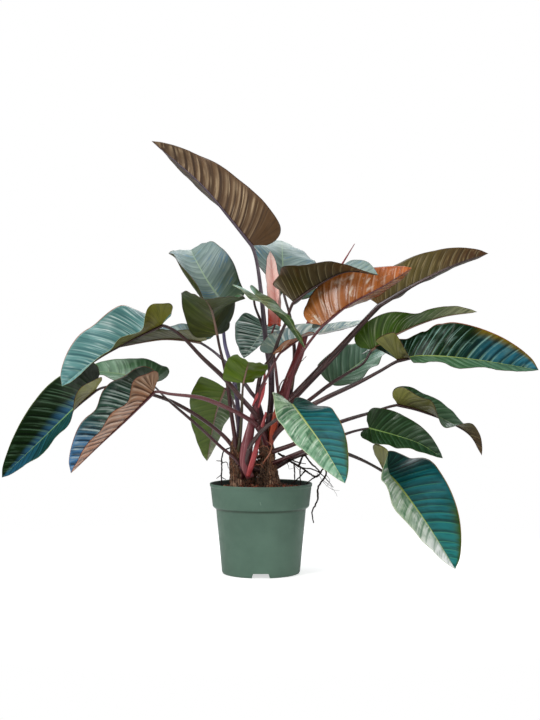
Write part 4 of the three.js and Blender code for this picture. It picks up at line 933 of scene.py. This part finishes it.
def soil():
    foot = POT_FLOOR + WALL + 0.4
    side = [(AXIS, foot), (FOOT_RADIUS - SOIL_CLEAR - 1, foot), (BODY_RADIUS - SOIL_CLEAR - 1.2, LIP - 5),
            (RIM_FOOT - SOIL_CLEAR - 2, LIP + 5)]
    rows = turned(side + [(r, SOIL_TOP) for r in np.linspace(SOIL_EDGE, AXIS, SOIL_ROWS)], SOIL_SIDES)
    upper = rows[len(side):]
    upper[..., 2] = soil_top(upper[..., 0], upper[..., 1])
    shape = Shape()
    u = np.linspace(0, 1, SOIL_SIDES + 1) + np.zeros((len(rows), 1))
    shape.grid(rows, u, u, closed=True)
    for count, small, large, most, lift in CRUMBS:
        for _ in range(count):
            x, y, r = soil_place(most)
            size = random.uniform(small, large, 3)
            heap = lift * random.uniform(0, 1) * (1 - r / SOIL_EDGE) + 0.3 * size[2]
            crumb(shape, np.array([x, y, soil_top(x, y) + heap]), size, pick((0, 1, 2, 3)))
    for _ in range(FIBRES):
        x, y, _ = soil_place(0.9)
        way, reach = random.uniform(0, np.pi), random.uniform(4, 16)
        along = np.array([math.cos(way), math.sin(way)])
        ends = [np.array([x, y]) + reach * t * along for t in (-0.5, 0, 0.5)]
        path = Path([(*e, soil_top(*e) + lift) for e, lift in zip(ends, (0.2, random.uniform(1, 5), 0.3))])
        shape.tube(path, 6, FIBRE_SIDES, lambda t: 0.5 - 0.2 * t, slot=pick((1, 2, 3)))
    chips = [soil_chip("chip_red", 0x5A2A1A, 0x96523A), soil_chip("chip_brown", 0x4A2E1E, 0x8A6248),
             soil_chip("chip_dark", 0x1E120C, 0x46281A)]
    shape.build("soil_surface", [soil_material()] + chips, replaces="soil")


# Stems, spear and aerial roots: points and radii
STEMS = {
    "left": ([(-53, 0, 150), (-53, 0, 215), (-57, 0, 265), (-58, 0, 300), (-57, 0, 318)],
     [19, 19, 15, 11.5, 8]),
    "right": ([(22, 0, 140), (21, 0, 212), (16, 0, 255), (12, 0, 300), (9, 0, 346)],
     [22, 22, 17.5, 15, 12]),
}
# Papery and bright red sheaths on the right stem. The first one runs on upwards between the stalks.
SHEATHS = [
    ("papery", [(-24, -37, 226), (-34, -38, 250), (-31, -38, 290), (-26, -34, 330), (-17, -30, 372),
     (-10, -28, 398)], [7.5, 9, 9.6, 8.4, 6, 3]),
    ("papery", [(-24, -37, 226), (-39, -36, 258), (-36, -33, 296), (-28, -32, 332), (-21, -30, 364)],
     [6, 8, 8.8, 7, 2.5]),
    ("bright", [(-30, -44, 229), (-23, -47, 252), (-15, -47, 280), (-5, -46, 318), (5, -42, 352),
     (12, -36, 378)], [4, 5.4, 5, 4.2, 3.4, 2]),
    ("bright", [(-20, -34, 392), (-8, -36, 416), (2, -36, 430), (13, -32, 446)], [1.2, 3.4, 3, 0.8]),
    ("bright", [(-6, -34, 388), (4, -36, 420), (8, -34, 452), (9, -30, 482)], [1.5, 3.2, 2.8, 1]),
]
# Inside of the open sheath
OPEN_SHEATH = [(22, -20, 300), (27, -24, 326), (32, -24, 352), (37, -20, 378), (41, -14, 402)]
SPEAR = [
    (12, 2, 320), (36, 14, 376), (62, 24, 444), (90, 36, 512), (103, 48, 558), (142, 58, 642),
    (202, 62, 742), (223, 64, 776)
]
SPEAR_RADII, SPEAR_FOOT = [9, 9.5, 10.5, 10.5, 9, 4.5, 2, 0.8], 78
ROOTS = {
    "right": [
        ([(39.5, -8, 281), (70, -14, 262), (100, -18, 244), (128, -16, 226), (142, -10, 238)],
         [2.6, 2.2, 2, 1.8, 1.2]),
        ([(50, -10, 276), (82, -22, 262), (104, -30, 258)], [2, 1.5, 0.9]),
        ([(62, -12, 268), (90, -30, 250), (118, -34, 246), (140, -36, 234), (168, -38, 204)],
         [1.8, 1.6, 1.4, 1.1, 0.8]),
        ([(76, -14, 258), (79, -12, 234), (78, -10, 208)], [1.6, 1.5, 1.3]),
        ([(92, -17, 248), (91, -14, 228), (93, -12, 205)], [1.6, 1.5, 1.2]),
        ([(104, -19, 242), (90, -16, 226), (70, -10, 208)], [1.8, 1.6, 1.3]),
        ([(88, -16, 251), (100, -36, 278), (114, -44, 262), (136, -48, 238), (120, -52, 226),
         (104, -44, 212)], [2.4, 2.2, 2, 1.8, 1.6, 1.2]),
        ([(136, -48, 238), (146, -56, 250), (150, -60, 236), (132, -58, 206), (130, -60, 176),
         (118, -62, 150), (121, -60, 124)], [1.6, 2, 2.2, 2.2, 2, 1.8, 1.2]),
    ],
    "left": [
        ([(-70.6, -3, 294), (-88, -6, 285), (-92, -6, 250), (-92, -4, 201)], [2, 1.8, 1.7, 1.6]),
        ([(-91, -6, 262), (-104, -12, 264)], [1.2, 0.7]),
        ([(-91, -5, 258), (-80, -12, 260), (-76, -16, 246)], [1.2, 1, 0.7]),
        ([(-92, -5, 230), (-104, -10, 222)], [1.1, 0.7]),
        ([(-92, -5, 224), (-82, -12, 220)], [1.1, 0.8]),
    ],
}
# Orange-brown roots between the stems, dry shreds of old sheaths, and thin root hairs
PALE_ROOTS = [
    ([(2, -28, 255), (12, -38, 270), (23, -40, 288), (24, -38, 302), (12, -34, 312)], 2.0),
    ([(-47, -16, 290), (-35, -30, 297), (-18, -36, 296)], 1.5),
    ([(-30, -30, 262), (-16, -40, 272), (4, -34, 284)], 1.5),
    ([(-8, -30, 292), (4, -40, 300), (16, -36, 296), (20, -30, 284)], 1.3),
    ([(-20, -36, 250), (-6, -42, 258), (6, -38, 250)], 1.2),
]
DRY_BITS = [
    ([(38, -20, 398), (44, -26, 438), (52, -26, 452), (62, -24, 456), (68, -24, 448)], 1.9),
    ([(70, -22, 430), (78, -20, 462), (92, -16, 492), (106, -14, 508)], 1.5),
    ([(58, -20, 430), (66, -22, 448), (70, -24, 470)], 1.2),
    ([(10, -34, 362), (18, -38, 372), (32, -36, 380), (44, -30, 390)], 1.3),
]
HAIR_ROOTS = [
    [(142, -46, 222), (160, -50, 208), (170, -50, 196), (176, -48, 184)],
    [(130, -30, 236), (152, -36, 208), (168, -38, 198), (182, -40, 196)],
    [(56, -20, 264), (74, -28, 258), (92, -34, 240), (112, -36, 238), (128, -40, 226)],
    [(62, -16, 262), (66, -22, 246), (80, -26, 250)],
    [(150, -58, 236), (158, -62, 222), (150, -64, 208)],
]


def lumpy(depth, seed):
    """Uneven girth, with low rings where old leaves sat."""
    a, b, c = np.random.default_rng(seed).uniform(0, TURN, 3)

    def lumps(share, turn):
        girth = np.sin(3 * turn + 5 * share + a) + 0.7 * np.sin(7 * turn - 9 * share + b)
        girth = girth + 0.6 * np.sin(13 * turn + 4 * share + c)
        rings = np.sin(56 * share + 0.8 * np.sin(2 * turn + a))
        rings = rings + 0.5 * np.sin(97 * share + np.sin(3 * turn + b))
        return 1 + depth * (0.7 * girth + 0.8 * rings)

    return lumps


def strand(points, radius, sides, shape, slot, wiggle):
    """Root or fibre through points, thinner towards its end and a little crooked."""
    path = Path(points)
    count = max(6, int(path.length / 4))
    place = path.at(np.linspace(0, path.length, count))[0]
    place[1:-1] += random.normal(0, wiggle, (count - 2, 3))
    radii = radius if callable(radius) else (lambda share: radius * (1 - 0.55 * share))
    bumps = random.uniform(0.85, 1.15, BUMPS)
    shape.tube(Path(place), 2 * count, sides, radii, slot,
               lumps=lambda share, turn: np.interp(share, np.linspace(0, 1, BUMPS), bumps) + 0 * turn)


def girdle(trunk, radii, shape, slots):
    """Loose fibres and thin roots that cling round a stem."""
    for _ in range(GIRDLE):
        start = random.uniform(0.36, 0.86) * trunk.length
        reach = random.uniform(6, 40)
        turn, drift = random.uniform(0, TURN), random.normal(0, 0.9)
        points = []
        for t in (0, 0.33, 0.67, 1):
            d = min(start + reach * t, trunk.length)
            r = np.interp(d, trunk.knots, radii) + random.uniform(0.2, 2.4)
            way = turn + drift * t
            points.append(trunk.at(d)[0] + r * np.array([math.cos(way), math.sin(way), 0]))
        strand(points, random.uniform(0.5, 1.5), FIBRE_SIDES, shape, pick(slots), 0.5)


def stems():
    materials = {
        "bark": bark_material("stem_bark", 0x2C1A14, 0xC8A084, 0x7E4838),
        "husk": bark_material("dry_husk", 0x1E120E, 0xA08066, 0x4E2E24),
        "papery": stalk_material("red_sheath", 0x8A444C, 0x6E2C36, 0xB8827E, 0.4),
        "pale_root": stalk_material("pale_root", 0xB06A50, 0xB87A60, 0xD0A084, 0.5),
        "inside": stalk_material("sheath_inside", 0xA83A1C, 0xB04A28, 0xD0704A, 0.4),
        "rust": bark_material("rust_root", 0x6E4028, 0xC08A66, 0x945A40),
        **STALKS,
        "bright": stalk_material("bright_sheath", 0xC0444A, 0xA8323A, 0xE49890, 0.35),
    }
    slot = list(materials).index
    bark, husk, rust = slot("bark"), slot("husk"), slot("rust")
    for side, (points, radii) in STEMS.items():
        shape = Shape()
        trunk = Path(points)
        lumps = lumpy(STEM_LUMPS, STEM_SEEDS[side])
        shape.tube(trunk, STEM_RINGS, STEM_SIDES, radius_of(trunk, radii), bark, lumps)
        for leaf in LEAVES.values():
            if leaf.stem == side:
                shape.tube(leaf.stalk, FOOT_RINGS, STALK_SIDES, lambda t: leaf.stalk_radius(t * leaf.foot),
                           slot(leaf.colour), end=leaf.foot)
        if side == "right":
            for kind, sheath, sizes in SHEATHS:
                path = Path(sheath)
                shape.tube(path, SHEATH_RINGS, SHEATH_SIDES, radius_of(path, sizes), slot(kind),
                           flattened(1.25, 0.55))
        girdle(trunk, radii, shape, (bark, husk, husk, rust))
        if side == "right":
            # Roots tangled between the two stems, from the stems down into the soil
            for _ in range(TANGLE):
                a = np.array([random.uniform(-34, 26), random.uniform(-26, 16), random.uniform(216, 290)])
                b = np.array([random.uniform(-46, 52), random.uniform(-36, 20), random.uniform(200, 214)])
                mid = (a + b) / 2 + random.normal(0, 9, 3)
                kinds = (husk, husk, husk, rust, bark)
                strand([a, mid, b], random.uniform(0.6, 1.9), FIBRE_SIDES, shape, pick(kinds), 0.8)
            for bits, sides, kind in ((PALE_ROOTS, ROOT_SIDES, "pale_root"), (DRY_BITS, 6, "husk")):
                for points, size in bits:
                    strand(points, size, sides, shape, slot(kind), 0.3)
            shape.tube(Path(OPEN_SHEATH), 28, SHEATH_SIDES,
                       lambda t: 9.5 * np.sin(np.pi * np.clip(0.1 + 0.84 * t, 0, 1)) ** 0.6,
                       slot("inside"), flattened(1, 0.35))
        shape.build(f"stem_{side}_bark", list(materials.values()), replaces=f"stem_{side}")


def spear():
    """The rolled leaf in its sheath, whose edge runs up it as a low ridge."""
    path = Path(SPEAR)
    shape = Shape()
    reach = path.length - SPEAR_FOOT

    def lumps(share, turn):
        return 1 + 0.05 * np.cos(turn - 1) + 0.05 * np.exp(-((turn - 4.2 - share) / 0.25) ** 2)

    shape.tube(path, SPEAR_RINGS, SPEAR_SIDES,
               lambda share: np.interp(SPEAR_FOOT + reach * share, path.knots, SPEAR_RADII),
               lumps=lumps, start=SPEAR_FOOT)
    red = stalk_material("spear_red", 0x6E2226, 0x7E2C30, 0xA4504E)
    shape.build("spear_sheath", [red], replaces="spear")


def roots():
    dark = bark_material("root_bark", 0x140E0C, 0x33231C, 0x241614)
    for side, strands in ROOTS.items():
        shape = Shape()
        for points, radii in strands:
            strand(points, radius_of(Path(points), radii), ROOT_SIDES, shape, 0, 0.35)
        if side == "right":
            for points in HAIR_ROOTS:
                strand(points, 0.6, FIBRE_SIDES, shape, 0, 0.6)
        shape.build(f"aerial_roots_{side}", [dark], replaces=f"roots_{side}")


for name, leaf in LEAVES.items():
    blade(name, leaf)
    stalk(name, leaf)
pot()
soil()
stems()
spear()
roots()


# Floor, light and camera

def floor():
    """Pale disc under the pot that fades out into the white round it."""
    mesh = bpy.data.meshes.new("floor")
    ring = [(FLOOR_RADIUS * math.cos(t), FLOOR_RADIUS * math.sin(t), 0) for t in turns_of(FLOOR_SIDES)]
    mesh.from_pydata(ring, [], [list(range(FLOOR_SIDES))])
    m = Maker("floor_white", 0xE2E2E2, Roughness=0.9, Specular_IOR_Level=0.1)
    m.spots(0xE6E6E6, (2,), 0.3, 0.7)
    m.fill(m.shader, {
        "Alpha": m.ramp(m.from_axis()[0], FLOOR_FADE, FLOOR_RADIUS, 1.0, 0.0),
        "Emission Color": (1, 1, 1, 1),
        "Emission Strength": m.ramp(m.node("LightPath")["Is Camera Ray"], 0.0, 1.0, FLOOR_DIM, FLOOR_GLOW),
    })
    mesh.materials.append(m.done())
    linked("floor", mesh)


def softbox(name, at, height, size, power, colour):
    """Soft light that faces a height on the pot's axis, in metres and watts."""
    light = bpy.data.lights.new(name, "AREA")
    light.shape, light.size, light.size_y = "RECTANGLE", *size
    light.energy, light.color = power, colour
    lamp = linked(name, light)
    lamp.location = at
    lamp.rotation_euler = (Vector((0, 0, height)) - Vector(at)).to_track_quat("-Z", "Y").to_euler()


def world():
    """White behind the plant, and a dimmer even light round it."""
    world = bpy.data.worlds.new("studio")
    world.use_nodes = True
    bpy.context.scene.world = world
    nodes, links = world.node_tree.nodes, world.node_tree.links
    nodes.clear()
    path, light, seen, mix, out = (nodes.new("ShaderNode" + kind) for kind in (
        "LightPath", "Background", "Background", "MixShader", "OutputWorld"))
    for node, colour, strength in ((seen, (1, 1, 1, 1), 1.0), (light, (0.98, 0.99, 1, 1), 0.32)):
        node.inputs[0].default_value, node.inputs[1].default_value = colour, strength
    for k, socket in enumerate((path.outputs["Is Camera Ray"], light.outputs[0], seen.outputs[0])):
        links.new(socket, mix.inputs[k])
    links.new(mix.outputs[0], out.inputs[0])


floor()
world()
softbox("overhead", (-0.5, -0.1, 2.6), 0.6, (2.2, 2.0), 62, (0.93, 0.97, 1.0))
softbox("front_left", (-2.2, -2.8, 2.0), 0.55, (1.3, 1.5), 62, (1.0, 0.98, 0.95))
softbox("front_right", (2.6, -2.2, 1.3), 0.55, (1.1, 1.4), 26, (1.0, 0.98, 0.96))
softbox("back", (0.6, 2.6, 1.9), 0.6, (2.0, 1.4), 22, (0.94, 0.97, 1.0))

lens = bpy.data.cameras.new("camera")
lens.lens, lens.sensor_width, lens.sensor_fit = LENS, SENSOR, "AUTO"
lens.clip_end = 50
camera = linked("camera", lens)
camera.location = [c * MM for c in CAMERA_AT]
camera.rotation_euler = (math.pi / 2, 0, 0)
bpy.context.scene.camera = camera
bpy.context.scene.view_settings.view_transform = "Standard"
